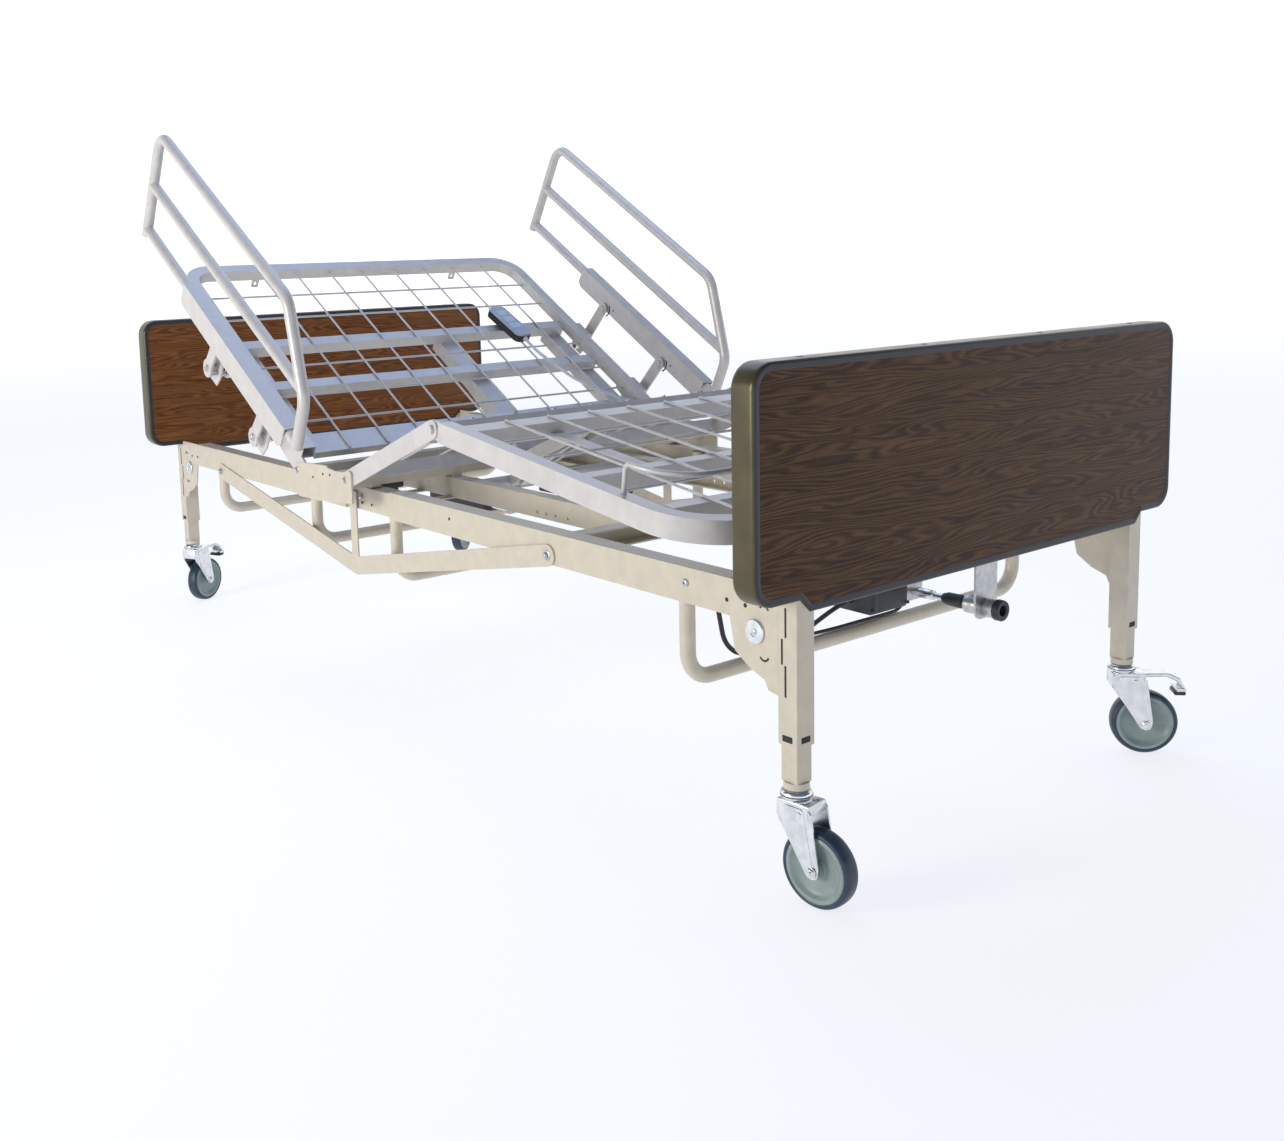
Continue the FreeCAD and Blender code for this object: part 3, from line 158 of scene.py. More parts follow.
def speckled(name, dark, light, roughness, metallic=0.0, scale=40.0, bump=0.02):
    """Finish with a faint cloudy tone and a fine surface grain."""
    material, tree, shader = new_material(name)
    vector = object_coords(tree)
    cloud = add_node(tree, "ShaderNodeTexNoise", Scale=scale, Detail=4.0)
    tree.links.new(vector, cloud.inputs["Vector"])
    colour = colour_ramp(tree, cloud.outputs["Fac"], list(zip(TONE_EDGES, (dark, light))))
    tree.links.new(colour, shader.inputs["Base Color"])
    grain = add_node(tree, "ShaderNodeTexNoise", Scale=GRAIN_SCALE, Detail=2.0)
    tree.links.new(vector, grain.inputs["Vector"])
    rough = add_node(tree, "ShaderNodeMapRange", From_Min=0.3, From_Max=0.7,
                     To_Min=roughness * 0.85, To_Max=min(1.0, roughness * 1.15))
    tree.links.new(cloud.outputs["Fac"], rough.inputs["Value"])
    tree.links.new(rough.outputs["Result"], shader.inputs["Roughness"])
    relief = add_node(tree, "ShaderNodeBump", Strength=bump, Distance=0.0004)
    tree.links.new(grain.outputs["Fac"], relief.inputs["Height"])
    tree.links.new(relief.outputs["Normal"], shader.inputs["Normal"])
    shader.inputs["Metallic"].default_value = metallic
    return material


def wood_laminate(name, tones):
    """Printed walnut grain across the board: streaks, fine pores and wavy growth lines."""
    material, tree, shader = new_material(name)
    vector = object_coords(tree, (1.5, 1.0, 15.0))
    warp = add_node(tree, "ShaderNodeTexNoise", Scale=1.25, Detail=2.5, Roughness=0.5)
    tree.links.new(vector, warp.inputs["Vector"])
    push = tree.nodes.new("ShaderNodeVectorMath")
    push.operation = "MULTIPLY_ADD"
    push.inputs[1].default_value = (0.3, 0.0, 2.6)
    tree.links.new(warp.outputs["Color"], push.inputs[0])
    tree.links.new(vector, push.inputs[2])
    lines = add_node(tree, "ShaderNodeTexWave", Scale=2.7, Distortion=3.0, Detail=4.0,
                     Detail_Scale=2.4, Detail_Roughness=0.7)
    lines.bands_direction = "Z"
    tree.links.new(push.outputs["Vector"], lines.inputs["Vector"])
    streaks = add_node(tree, "ShaderNodeTexNoise", Scale=1.0, Detail=7.0, Roughness=0.65)
    tree.links.new(object_coords(tree, (2.6, 1.0, 55.0)), streaks.inputs["Vector"])
    pores = add_node(tree, "ShaderNodeTexNoise", Scale=1.0, Detail=4.0, Roughness=0.7)
    tree.links.new(object_coords(tree, (24.0, 1.0, 560.0)), pores.inputs["Vector"])
    grain = tree.nodes.new("ShaderNodeMix")
    grain.data_type = "FLOAT"
    grain.inputs["Factor"].default_value = 0.66
    tree.links.new(lines.outputs["Fac"], grain.inputs["A"])
    tree.links.new(streaks.outputs["Fac"], grain.inputs["B"])
    mix = tree.nodes.new("ShaderNodeMix")
    mix.data_type = "FLOAT"
    mix.inputs["Factor"].default_value = 0.34
    tree.links.new(grain.outputs["Result"], mix.inputs["A"])
    tree.links.new(pores.outputs["Fac"], mix.inputs["B"])
    colour = colour_ramp(tree, mix.outputs["Result"], tones)
    tree.links.new(colour, shader.inputs["Base Color"])
    relief = add_node(tree, "ShaderNodeBump", Strength=0.06, Distance=0.0003)
    tree.links.new(pores.outputs["Fac"], relief.inputs["Height"])
    tree.links.new(relief.outputs["Normal"], shader.inputs["Normal"])
    shader.inputs["Roughness"].default_value = 0.42
    shader.inputs["Specular IOR Level"].default_value = 0.20
    return material


PAINT = speckled("beige_powder_coat", (0.50, 0.455, 0.365), (0.56, 0.51, 0.415), 0.38,
                 metallic=0.1, bump=0.06)
# The deck's copy of the beige paint is tinted blue-grey: painted blue top light on the same paint
# as the frame.
BLUE_LIT_DECK_PAINT = speckled("beige_powder_coat_painted_blue_light", (0.50, 0.485, 0.47), (0.56, 0.545, 0.53), 0.34,
                      metallic=0.15, bump=0.06)
ZINC = speckled("bright_zinc", (0.62, 0.64, 0.66), (0.80, 0.81, 0.82), 0.24, metallic=1.0,
                scale=60, bump=0.03)
BRONZE = speckled("bronze_edge_trim", (0.058, 0.049, 0.022), (0.082, 0.070, 0.032), 0.32,
                  metallic=0.4, scale=18, bump=0.02)
BLACK = speckled("black_plastic", (0.012, 0.014, 0.020), (0.022, 0.024, 0.032), 0.45, bump=0.08)
CABLE_BLACK = speckled("black_cable_sheath", (0.008, 0.008, 0.010), (0.016, 0.016, 0.018), 0.5)
CORD_GREY = speckled("grey_cord_sheath", (0.50, 0.53, 0.57), (0.58, 0.61, 0.65), 0.5)
TREAD = speckled("blue_black_tread", (0.010, 0.024, 0.048), (0.022, 0.042, 0.075), 0.42,
                 scale=80, bump=0.05)
WHEEL_GREY = speckled("grey_wheel_centre", (0.19, 0.25, 0.245), (0.25, 0.31, 0.305), 0.40)
HANDSET_DARK = speckled("dark_handset_shell", (0.012, 0.014, 0.018), (0.024, 0.026, 0.030), 0.36)
HANDSET_FACE = speckled("pale_handset_face", (0.30, 0.36, 0.44), (0.38, 0.44, 0.52), 0.35)
KEY_BLUE = speckled("blue_grey_keys", (0.42, 0.50, 0.60), (0.50, 0.58, 0.68), 0.40)
WALNUT = wood_laminate("walnut_laminate", [(0.30, (0.012, 0.004, 0.001)),
                                           (0.45, (0.042, 0.016, 0.004)),
                                           (0.58, (0.076, 0.034, 0.011)),
                                           (0.75, (0.118, 0.060, 0.022))])
SLOT_MATERIALS = {"walnut": WALNUT, "edge_band": BRONZE, "frame_paint": PAINT,
                  "deck_paint": BLUE_LIT_DECK_PAINT, "zinc": ZINC, "black_plastic": BLACK,
                  "cable_black": CABLE_BLACK, "cord_grey": CORD_GREY, "wheel": WHEEL_GREY,
                  "handset": HANDSET_DARK, "keys": KEY_BLUE, "plug_box": BLACK}

node_slots = {entry["node"]: entry["material_slot"] for entry in frame["record"]["subparts"]}
for node_name, node in NODES.items():
    node.data.materials.clear()
    node.data.materials.append(SLOT_MATERIALS[node_slots[node_name]])

cord, cord_points = add_cord()
cord.data.materials.append(CORD_GREY)
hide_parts("handset_cord")
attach(cord, "head_section")


def measured_length(obj):
    """Length of a curve object's own line."""
    plain = obj.data.copy()
    plain.bevel_depth = 0
    probe = bpy.data.objects.new("probe", plain)
    bpy.context.collection.objects.link(probe)
    mesh = probe.to_mesh()
    verts = [v.co.copy() for v in mesh.vertices]
    probe.to_mesh_clear()
    bpy.data.objects.remove(probe)
    bpy.data.curves.remove(plain)
    return sum((b - a).length for a, b in zip(verts, verts[1:]))


measured_length(cord)


# ---- stage ----
FLOOR_HALF = 16.0
BACKDROP_RADIUS = 15.52
BACKDROP_STEPS = 36
BACKDROP_FOOT = -0.1
# The wall behind the bed is tall from one of these angles to the other, and low elsewhere.
TALL_FROM, TALL_TO = -20, 110
TALL_WALL, LOW_WALL = 12.0, 4.5


def glowing(name, colour, strength):
    """Matt surface that also gives off an even studio light."""
    material, tree, shader = new_material(name)
    cloud = add_node(tree, "ShaderNodeTexNoise", Scale=0.4, Detail=2.0)
    tree.links.new(object_coords(tree), cloud.inputs["Vector"])
    greys = ((0.34, 0.34, 0.35), (0.36, 0.36, 0.37))
    tone = colour_ramp(tree, cloud.outputs["Fac"], list(zip(TONE_EDGES, greys)))
    tree.links.new(tone, shader.inputs["Base Color"])
    shader.inputs["Roughness"].default_value = 0.95
    shader.inputs["Emission Color"].default_value = (*colour, 1)
    shader.inputs["Emission Strength"].default_value = strength
    return material


def stage_mesh(name, verts, faces, material):
    mesh = bpy.data.meshes.new(name)
    mesh.from_pydata(verts, [], faces)
    obj = bpy.data.objects.new(name, mesh)
    bpy.context.collection.objects.link(obj)
    obj.data.materials.append(material)


def add_stage():
    half = FLOOR_HALF
    stage_mesh("floor", [(-half, -half, 0), (half, -half, 0), (half, half, 0), (-half, half, 0)],
               [(0, 1, 2, 3)], glowing("pale_floor", (0.96, 0.975, 1.0), 0.76))
    verts = []
    steps = BACKDROP_STEPS
    for i in range(steps):
        turn = math.tau * i / steps
        tall = TALL_FROM <= (math.degrees(turn) + 90) % 360 - 90 <= TALL_TO
        x, y = BACKDROP_RADIUS * math.cos(turn), BACKDROP_RADIUS * math.sin(turn)
        verts += [(x, y, BACKDROP_FOOT), (x, y, TALL_WALL if tall else LOW_WALL)]
    faces = [(2 * i, 2 * ((i + 1) % steps), 2 * ((i + 1) % steps) + 1, 2 * i + 1)
             for i in range(steps)]
    stage_mesh("backdrop", verts, faces, glowing("white_backdrop", (1.0, 1.0, 1.0), 1.0))
    world = bpy.data.worlds.new("studio")
    world.use_nodes = True
    background = world.node_tree.nodes["Background"]
    background.inputs["Color"].default_value = (0.46, 0.60, 1.0, 1)
    background.inputs["Strength"].default_value = 0.24
    bpy.context.scene.world = world
    lights = [("top_soft", (0.6, 0.9, 3.4), (0, 0, 0), 2.6, 46, (0.52, 0.66, 1.0)),
              ("left_warm", (-3.9, 0.2, 1.2), (0, 0.2, 0.5), 1.4, 82, (1.0, 0.94, 0.84))]
    for name, at, target, size, power, colour in lights:
        data = bpy.data.lights.new(name, "AREA")
        data.shape = "SQUARE"
        data.size = size
        data.energy = power
        data.color = colour
        lamp = bpy.data.objects.new(name, data)
        lamp.location = at
        lamp.rotation_euler = (Vector(target) - Vector(at)).to_track_quat("-Z", "Y").to_euler()
        bpy.context.collection.objects.link(lamp)
    bpy.context.scene.view_settings.view_transform = "Standard"


add_stage()

# ---- piece helpers ----
def finish_piece(name, bm, material, body, matrix=HERE, replaced=(), smooth=35.0):
    """Make a piece on its body from a bmesh drawn in metres in the frame that matrix gives."""
    bmesh.ops.recalc_face_normals(bm, faces=bm.faces)
    mesh = bpy.data.meshes.new(name)
    bm.to_mesh(mesh)
    bm.free()
    mesh.transform(ORIGIN @ matrix)
    mesh.materials.append(material)
    obj = bpy.data.objects.new(name, mesh)
    bpy.context.collection.objects.link(obj)
    for polygon in mesh.polygons:
        polygon.use_smooth = True
    mesh.set_sharp_from_angle(angle=math.radians(smooth))
    if replaced:
        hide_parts(*replaced)
    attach(obj, body)


def bevelled(bm, width, segments=2, angle=30.0):
    if width <= 0:
        return
    edges = [e for e in bm.edges if len(e.link_faces) == 2
             and e.calc_face_angle(0) > math.radians(angle)]
    bmesh.ops.bevel(bm, geom=edges, offset=width, segments=segments, profile=0.5,
                    affect="EDGES", clamp_overlap=True)


def block(x0, x1, y0, y1, z0, z1, bevel=0.0, bm=None):
    """Box in millimetres with rounded edges; joins an existing bmesh if given."""
    part = bmesh.new()
    bmesh.ops.create_cube(part, size=1)
    for vert in part.verts:
        vert.co = Vector(((x0 + x1) / 2 + vert.co.x * (x1 - x0),
                          (y0 + y1) / 2 + vert.co.y * (y1 - y0),
                          (z0 + z1) / 2 + vert.co.z * (z1 - z0))) / 1000
    bevelled(part, bevel / 1000)
    return merged(bm, part)


def merged(bm, part):
    if bm is None:
        return part
    mesh = bpy.data.meshes.new("part")
    part.to_mesh(mesh)
    part.free()
    bm.from_mesh(mesh)
    bpy.data.meshes.remove(mesh)
    return bm


def prism(outline, low, high, axis="X", bevel=0.0, bm=None, holes=(), cuts=()):
    """Plate from an outline in millimetres, thick along axis, with holes cut through."""
    part = bmesh.new()

    def at(a, b, depth):
        if axis == "X":
            return Vector((depth, a, b)) / 1000
        if axis == "Y":
            return Vector((a, depth, b)) / 1000
        return Vector((a, b, depth)) / 1000
    loops = [outline] + [[(cx + r * math.cos(-t * math.tau / 24),
                           cy + r * math.sin(-t * math.tau / 24)) for t in range(24)]
                         for cx, cy, r in holes] + list(cuts)
    edges = []
    for loop in loops:
        verts = [part.verts.new(at(a, b, low)) for a, b in loop]
        edges += [part.edges.new((verts[i], verts[(i + 1) % len(verts)]))
                  for i in range(len(verts))]
    bmesh.ops.triangle_fill(part, edges=edges, use_beauty=True)
    lift = bmesh.ops.extrude_face_region(part, geom=part.faces[:])
    moved = [g for g in lift["geom"] if isinstance(g, bmesh.types.BMVert)]
    bmesh.ops.translate(part, verts=moved, vec=at(0, 0, high) - at(0, 0, low))
    bmesh.ops.recalc_face_normals(part, faces=part.faces)
    bmesh.ops.dissolve_limit(part, angle_limit=0.01, verts=part.verts, edges=part.edges)
    bevelled(part, bevel / 1000, 1, 50.0)
    return merged(bm, part)


def rounded(points, radii, steps=6):
    """Outline with its corners rounded, each to its own radius."""
    out = []
    count = len(points)
    for i, corner in enumerate(points):
        radius = radii[i] if isinstance(radii, (list, tuple)) else radii
        here = Vector(corner)
        before = (Vector(points[i - 1]) - here)
        after = (Vector(points[(i + 1) % count]) - here)
        if radius <= 0:
            out.append(tuple(here))
            continue
        a, b = before.normalized(), after.normalized()
        half = a.angle(b) / 2
        setback = min(radius / math.tan(half), before.length * 0.49, after.length * 0.49)
        radius = setback * math.tan(half)
        centre = here + (a + b).normalized() * (radius / math.sin(half))
        start = here + a * setback - centre
        end = here + b * setback - centre
        sweep = start.angle_signed(end)
        for step in range(steps + 1):
            turn = -sweep * step / steps
            c, s = math.cos(turn), math.sin(turn)
            out.append((centre.x + start.x * c - start.y * s, centre.y + start.x * s + start.y * c))
    return out


def lathe(profile, matrix, segments=48, bm=None):
    """Solid turned about +Z from a profile of (radius, height) in millimetres."""
    part = bmesh.new()
    rings = []
    for radius, height in profile:
        if radius <= 0:
            rings.append([part.verts.new((0, 0, height / 1000))])
            continue
        rings.append([part.verts.new((radius / 1000 * math.cos(math.tau * i / segments),
                                      radius / 1000 * math.sin(math.tau * i / segments),
                                      height / 1000)) for i in range(segments)])
    for low, high in zip(rings, rings[1:]):
        for i in range(segments):
            j = (i + 1) % segments
            if len(low) == 1 and len(high) == 1:
                continue
            if len(low) == 1:
                part.faces.new((low[0], high[j], high[i]))
            elif len(high) == 1:
                part.faces.new((low[i], low[j], high[0]))
            else:
                part.faces.new((low[i], low[j], high[j], high[i]))
    closed = profile[0] == profile[-1]
    for ring, flip in ((rings[0], True), (rings[-1], False)):
        if len(ring) > 1 and not closed:
            part.faces.new(ring[::-1] if flip else ring)
    if closed:
        bmesh.ops.remove_doubles(part, verts=part.verts, dist=1e-6)
    part.transform(matrix)
    bmesh.ops.recalc_face_normals(part, faces=part.faces)
    return merged(bm, part)


def facing(at, direction):
    """Matrix that puts +Z along a direction, at a point in millimetres."""
    turn = Vector((0, 0, 1)).rotation_difference(Vector(direction)).to_matrix().to_4x4()
    return Matrix.Translation(Vector(at) / 1000) @ turn


def spring(at, direction, radius, wire, turns, length, bm=None):
    """Coil spring in millimetres, starting at a point."""
    place = facing(at, direction)
    steps = int(turns * 14)
    points = []
    for i in range(steps + 1):
        angle = math.tau * turns * i / steps
        local = Vector((radius * math.cos(angle), radius * math.sin(angle), length * i / steps))
        points.append(place @ (local / 1000) * 1000)
    part = bmesh.new()
    rings = []
    for i, here in enumerate(points):
        ahead = (points[min(i + 1, steps)] - points[max(i - 1, 0)]).normalized()
        side = ahead.cross(Vector(direction)).normalized()
        up = side.cross(ahead)
        rings.append([part.verts.new((here + side * wire * math.cos(t * math.tau / 7)
                                      + up * wire * math.sin(t * math.tau / 7)) / 1000)
                      for t in range(7)])
    for low, high in zip(rings, rings[1:]):
        for i in range(7):
            j = (i + 1) % 7
            part.faces.new((low[i], low[j], high[j], high[i]))
    part.faces.new(rings[0][::-1])
    part.faces.new(rings[-1])
    bmesh.ops.recalc_face_normals(part, faces=part.faces)
    return merged(bm, part)


def bolt_head(at, direction, radius, height, bm=None):
    """Domed head with a hexagon recess."""
    profile = [(0, height * 0.45), (radius * 0.34, height * 0.45), (radius * 0.36, height),
               (radius * 0.72, height * 0.9), (radius * 0.94, height * 0.55), (radius, 0), (0, 0)]
    return lathe(profile, facing(at, direction), 24, bm)


# ---- end boards ----
BOARD_HALF = 533.5
BOARD_TOP = 782.4
HALF_LENGTH = 1136.2
BOARD_THICK = 44.2
BOARD_LOW = 445.7
BOARD_CORNER = 38.0
# The boards reach lower between the legs, down to the tongue's edge.
TONGUE_LOW = 426.0
TONGUE_HALF = 420.25
TONGUE_SLOPE_END = 440.25
LEG_X = 429.25
LEG_Y = 1113.7


def board_loop(inset):
    half = BOARD_HALF - inset
    low = BOARD_LOW + inset
    middle = TONGUE_LOW + inset
    points = [(-half, BOARD_TOP - inset), (-half, low), (-TONGUE_SLOPE_END, low),
              (-TONGUE_HALF, middle), (TONGUE_HALF, middle), (TONGUE_SLOPE_END, low), (half, low),
              (half, BOARD_TOP - inset)]
    corner = max(BOARD_CORNER - inset, 3.0)
    return rounded(points, [corner, corner, 4, 4, 4, 4, corner, corner], 10)


def ring_strip(part, outer, inner):
    count = len(outer)
    for i in range(count):
        j = (i + 1) % count
        part.faces.new((outer[i], outer[j], inner[j], inner[i]))


def add_board(name, sign, wood):
    """Edge trim with softly rounded edges round a recessed laminate panel."""
    outside = sign * HALF_LENGTH
    inside = sign * (HALF_LENGTH - BOARD_THICK)
    into = -sign
    part = bmesh.new()
    section = [(9.5, 1.4), (8.0, 0.5), (5.5, 0.0), (3.0, 0.4), (1.2, 1.8), (0.2, 4.2), (0.0, 7.5),
               (0.0, BOARD_THICK - 7.5), (0.2, BOARD_THICK - 4.2), (1.2, BOARD_THICK - 1.8),
               (3.0, BOARD_THICK - 0.4), (5.5, BOARD_THICK), (8.0, BOARD_THICK - 0.5),
               (9.5, BOARD_THICK - 1.4)]
    loops = []
    for inset, depth in section:
        loops.append([part.verts.new(Vector((x, outside + into * depth, z)) / 1000)
                      for x, z in board_loop(inset)])
    for a, b in zip(loops, loops[1:]):
        ring_strip(part, a, b)
    ring_strip(part, loops[-1], loops[0])
    finish_piece(name + "_trim", part, BRONZE, "base", replaced=[name + "_edge"], smooth=40)
    # Black band over the front of the trim's rounded inner edge and the panel's edge, on both faces
    # of the board.
    dark_band = bmesh.new()
    dark_band_section = [(2.2, 0.9), (3.6, -0.1), (5.6, -0.3), (8.4, 0.1), (11.0, 0.4), (12.6, 1.2),
                    (12.6, 6.0), (2.2, 6.0)]
    for from_face in (False, True):
        rows = []
        for inset, depth in dark_band_section:
            deep = BOARD_THICK - depth if from_face else depth
            rows.append([dark_band.verts.new(Vector((x, outside + into * deep, z)) / 1000)
                         for x, z in board_loop(inset)])
        for a, b in zip(rows, rows[1:] + rows[:1]):
            ring_strip(dark_band, a, b)
    finish_piece(name + "_dark_band", dark_band, BLACK, "base")
    panel = bmesh.new()
    faces = []
    for depth in (1.0, BOARD_THICK - 1.0):
        faces.append([panel.verts.new(Vector((x, outside + into * depth, z)) / 1000)
                      for x, z in board_loop(9.0)])
    ring_strip(panel, faces[0], faces[1])
    panel.faces.new(faces[0])
    panel.faces.new(faces[1])
    finish_piece(name + "_panel", panel, wood, "base", replaced=[name])
    screws = None
    for x in (-420, -150, 150, 420):
        at = (x, outside + into * BOARD_THICK / 2, BOARD_TOP - 0.6)
        screws = lathe([(0, 0.2), (3.2, 0.2), (4.4, 1.0), (5.2, 0.6), (5.2, -1), (0, -1)],
                       facing(at, (0, 0, 1)), 20, screws)
    finish_piece(name + "_screws", screws, BLACK, "base")


# Lighter, redder copy of the walnut laminate for the head board's panel: painted light on the same
# laminate as the foot board.
HEAD_WALNUT_PAINTED_LIGHT = wood_laminate("walnut_laminate_painted_light", [(0.30, (0.056, 0.016, 0.003)),
                                                      (0.45, (0.122, 0.042, 0.010)),
                                                      (0.58, (0.182, 0.068, 0.018)),
                                                      (0.75, (0.230, 0.095, 0.030))])
add_board("foot_board", -1, WALNUT)
add_board("head_board", 1, HEAD_WALNUT_PAINTED_LIGHT)


# ---- casters ----
LEGS = {"fl": (-1, -1, -83.5), "fr": (1, -1, -46.6), "hl": (-1, 1, 28.4), "hr": (1, 1, 36.0)}
WHEEL_AT = 40.0
WHEEL_RADIUS = 58.0
WHEEL_HALF = 15.0
FORK_TOP = 166.7
PEDAL_HINGE = (20, 137)


def caster_matrix(name):
    sx, sy, turn = LEGS[name]
    return (Matrix.Translation((sx * LEG_X / 1000, sy * LEG_Y / 1000, 0))
            @ Matrix.Rotation(math.radians(turn), 4, "Z"))


def add_wheel(name):
    place = caster_matrix(name)
    axle = facing((WHEEL_AT, 0, WHEEL_RADIUS), (0, 1, 0))
    half = WHEEL_HALF
    tyre = [(49.0, -half + 1.5), (50.5, -half + 0.6), (52.5, -half + 0.4), (55.0, -half + 1.8),
            (57.0, -half + 4.8), (57.8, -half + 9.0), (58.0, 0), (57.8, half - 9.0),
            (57.0, half - 4.8), (55.0, half - 1.8), (52.5, half - 0.4), (50.5, half - 0.6),
            (49.0, half - 1.5)]
    tread = lathe(tyre + [(46.0, half - 3), (46.0, -half + 3), tyre[0]], axle, 72)
    bmesh.ops.remove_doubles(tread, verts=tread.verts, dist=1e-6)
    finish_piece("tread_" + name, tread, TREAD, "wheel_" + name, place)
    centre = [(4.4, -half + 1.0), (10.0, -half + 1.0), (11.4, -half + 2.0), (12.2, -half + 7.0),
              (16.0, -half + 9.4), (34.0, -half + 8.2), (40.5, -half + 4.6), (43.0, -half + 1.2),
              (44.6, -half + 0.3), (47.2, -half + 0.3), (49.2, -half + 1.4)]
    back = [(r, -h) for r, h in centre[::-1]]
    hub = lathe(centre + back + [centre[0]], axle, 72)
    bmesh.ops.remove_doubles(hub, verts=hub.verts, dist=1e-6)
    finish_piece("wheel_centre_" + name, hub, WHEEL_GREY, "wheel_" + name, place,
                 replaced=["wheel_" + name])


def add_fork(name):
    place = caster_matrix(name)
    body = "caster_" + name
    top = FORK_TOP
    cheek = rounded([(-20, top - 16), (33, top - 16), (40, top - 26), (52, 64), (50, 50),
                     (41, 46), (31, 50), (4, 92), (-17, 122)],
                    [8, 4, 6, 6, 9, 9, 9, 20, 14])
    part = None
    for low, high in ((18.6, 22.0), (-22.0, -18.6)):
        part = prism(cheek, low, high, "Y", 0.7, part)
    part = block(-18, 35, -22, 22, top - 18.5, top - 14.5, 1.6, part)
    part = block(32.4, 36, -22, 22, top - 30, top - 14.5, 1.4, part)
    part = block(-20.5, -17.5, -21, 21, top - 40, top - 15, 1.4, part)
    rib = rounded([(-8, top - 20), (26, top - 20), (43, 62), (38, 54), (32, 62), (2, 100)],
                  [5, 5, 5, 4, 5, 12])
    part = prism(rib, 22.0, 23.0, "Y", 0.5, part)
    part = prism(rib, -23.0, -22.0, "Y", 0.5, part)
    finish_piece("fork_" + name, part, ZINC, body, place, replaced=["caster_fork_" + name])
    race = [(0, top - 16.4), (18.5, top - 16.4), (21.4, top - 15.2), (23.2, top - 12),
            (23.8, top - 8.4), (23.0, top - 4.8), (20.4, top - 1.6), (17, top - 0.3),
            (0, top - 0.3)]
    ring = lathe(race, HERE, 48)
    finish_piece("race_" + name, ring, ZINC, body, place)
    seam = lathe([(15, top - 9.6), (23.8, top - 9.3), (24.0, top - 8.4), (23.7, top - 7.5),
                  (15, top - 7.2), (15, top - 9.6)], HERE, 48)
    finish_piece("race_seam_" + name, seam, BLACK, body, place)
    stem = lathe([(0, top - 2), (5.5, top - 2), (5.5, 212), (4.5, 213), (0, 213)], HERE, 24)
    finish_piece("stem_" + name, stem, ZINC, body, place)
    bolts = None
    for side in (-1, 1):
        at = (WHEEL_AT, side * 22.6, WHEEL_RADIUS)
        bolts = lathe([(0, 5.4), (3.0, 5.4), (3.2, 3.6), (6.2, 3.6), (7.2, 2.6), (7.4, 1.4),
                       (9.0, 1.2), (9.2, 0), (0, 0)], facing(at, (0, side, 0)), 24, bolts)
        bolts = lathe([(0, 3.6), (4.6, 3.4), (8.2, 0), (0, 0)],
                      facing((WHEEL_AT, side * 15.2, WHEEL_RADIUS), (0, side, 0)), 24, bolts)
        bolts = lathe([(0, 2.2), (4.0, 2.0), (5.0, 0), (0, 0)],
                      facing((PEDAL_HINGE[0], side * 22.6, PEDAL_HINGE[1]), (0, side, 0)), 20,
                      bolts)
    bolts = lathe([(0, -18.4), (4.0, -18.4), (4.0, 18.4), (0, 18.4)],
                  facing((WHEEL_AT, 0, WHEEL_RADIUS), (0, 1, 0)), 24, bolts)
    finish_piece("caster_bolts_" + name, bolts, ZINC, body, place)


def add_pedal(name):
    place = caster_matrix(name)
    upper = rounded([(12, 146), (40, 151), (78, 152), (98, 143), (106, 127), (101, 124),
                     (92, 138), (74, 146), (40, 145), (14, 134)], [3, 8, 14, 8, 2, 2, 6, 12, 8, 3])
    part = prism(upper, -15.5, 15.5, "Y", 1.0)
    part = block(91, 108, -18, 18, 119, 125.5, 1.6, part)
    part = lathe([(3.1, -16.8), (7.0, -16.8), (7.0, 16.8), (3.1, 16.8), (3.1, -16.8)],
                 facing((PEDAL_HINGE[0], 0, PEDAL_HINGE[1]), (0, 1, 0)), 28, part)
    finish_piece("pedal_" + name, part, ZINC, "pedal_" + name, place,
                 replaced=["brake_pedal_" + name])
    pad = block(88, 107.5, -17, 17, 112, 119.4, 2.0)
    finish_piece("pedal_pad_" + name, pad, BLACK, "pedal_" + name, place)


for leg in LEGS:
    add_wheel(leg)
    add_fork(leg)
for leg in ("fr", "hl"):
    add_pedal(leg)


# ---- fasteners, painted shade of holes and gaps, and trim of the base ----
RAIL_FACE = 447.0
STEEL = speckled("dull_zinc_bolts", (0.42, 0.43, 0.44), (0.60, 0.61, 0.62), 0.34, metallic=0.9,
                 scale=90, bump=0.04)
# Near-black finish for painted shade in holes, notches, slots and gaps.
SHADOW = speckled("painted_shade_openings", (0.016, 0.016, 0.020), (0.030, 0.030, 0.034), 0.8)


def washer_bolt(at, direction, radius, bm=None):
    """Washer with a hexagon nut and the rounded end of its screw."""
    place = facing(at, direction)
    bm = lathe([(0, -0.6), (radius, -0.6), (radius, 0.8), (radius - 0.6, 1.2), (0, 1.2)],
               place, 36, bm)
    bm = lathe([(0, 1.0), (radius * 0.66, 1.0), (radius * 0.68, 1.5), (radius * 0.68, 4.2),
                (radius * 0.58, 4.9), (0, 4.9)], place, 6, bm)
    return lathe([(0, 4.8), (radius * 0.32, 4.8), (radius * 0.30, 6.0), (radius * 0.22, 6.5),
                  (0, 6.5)], place, 20, bm)


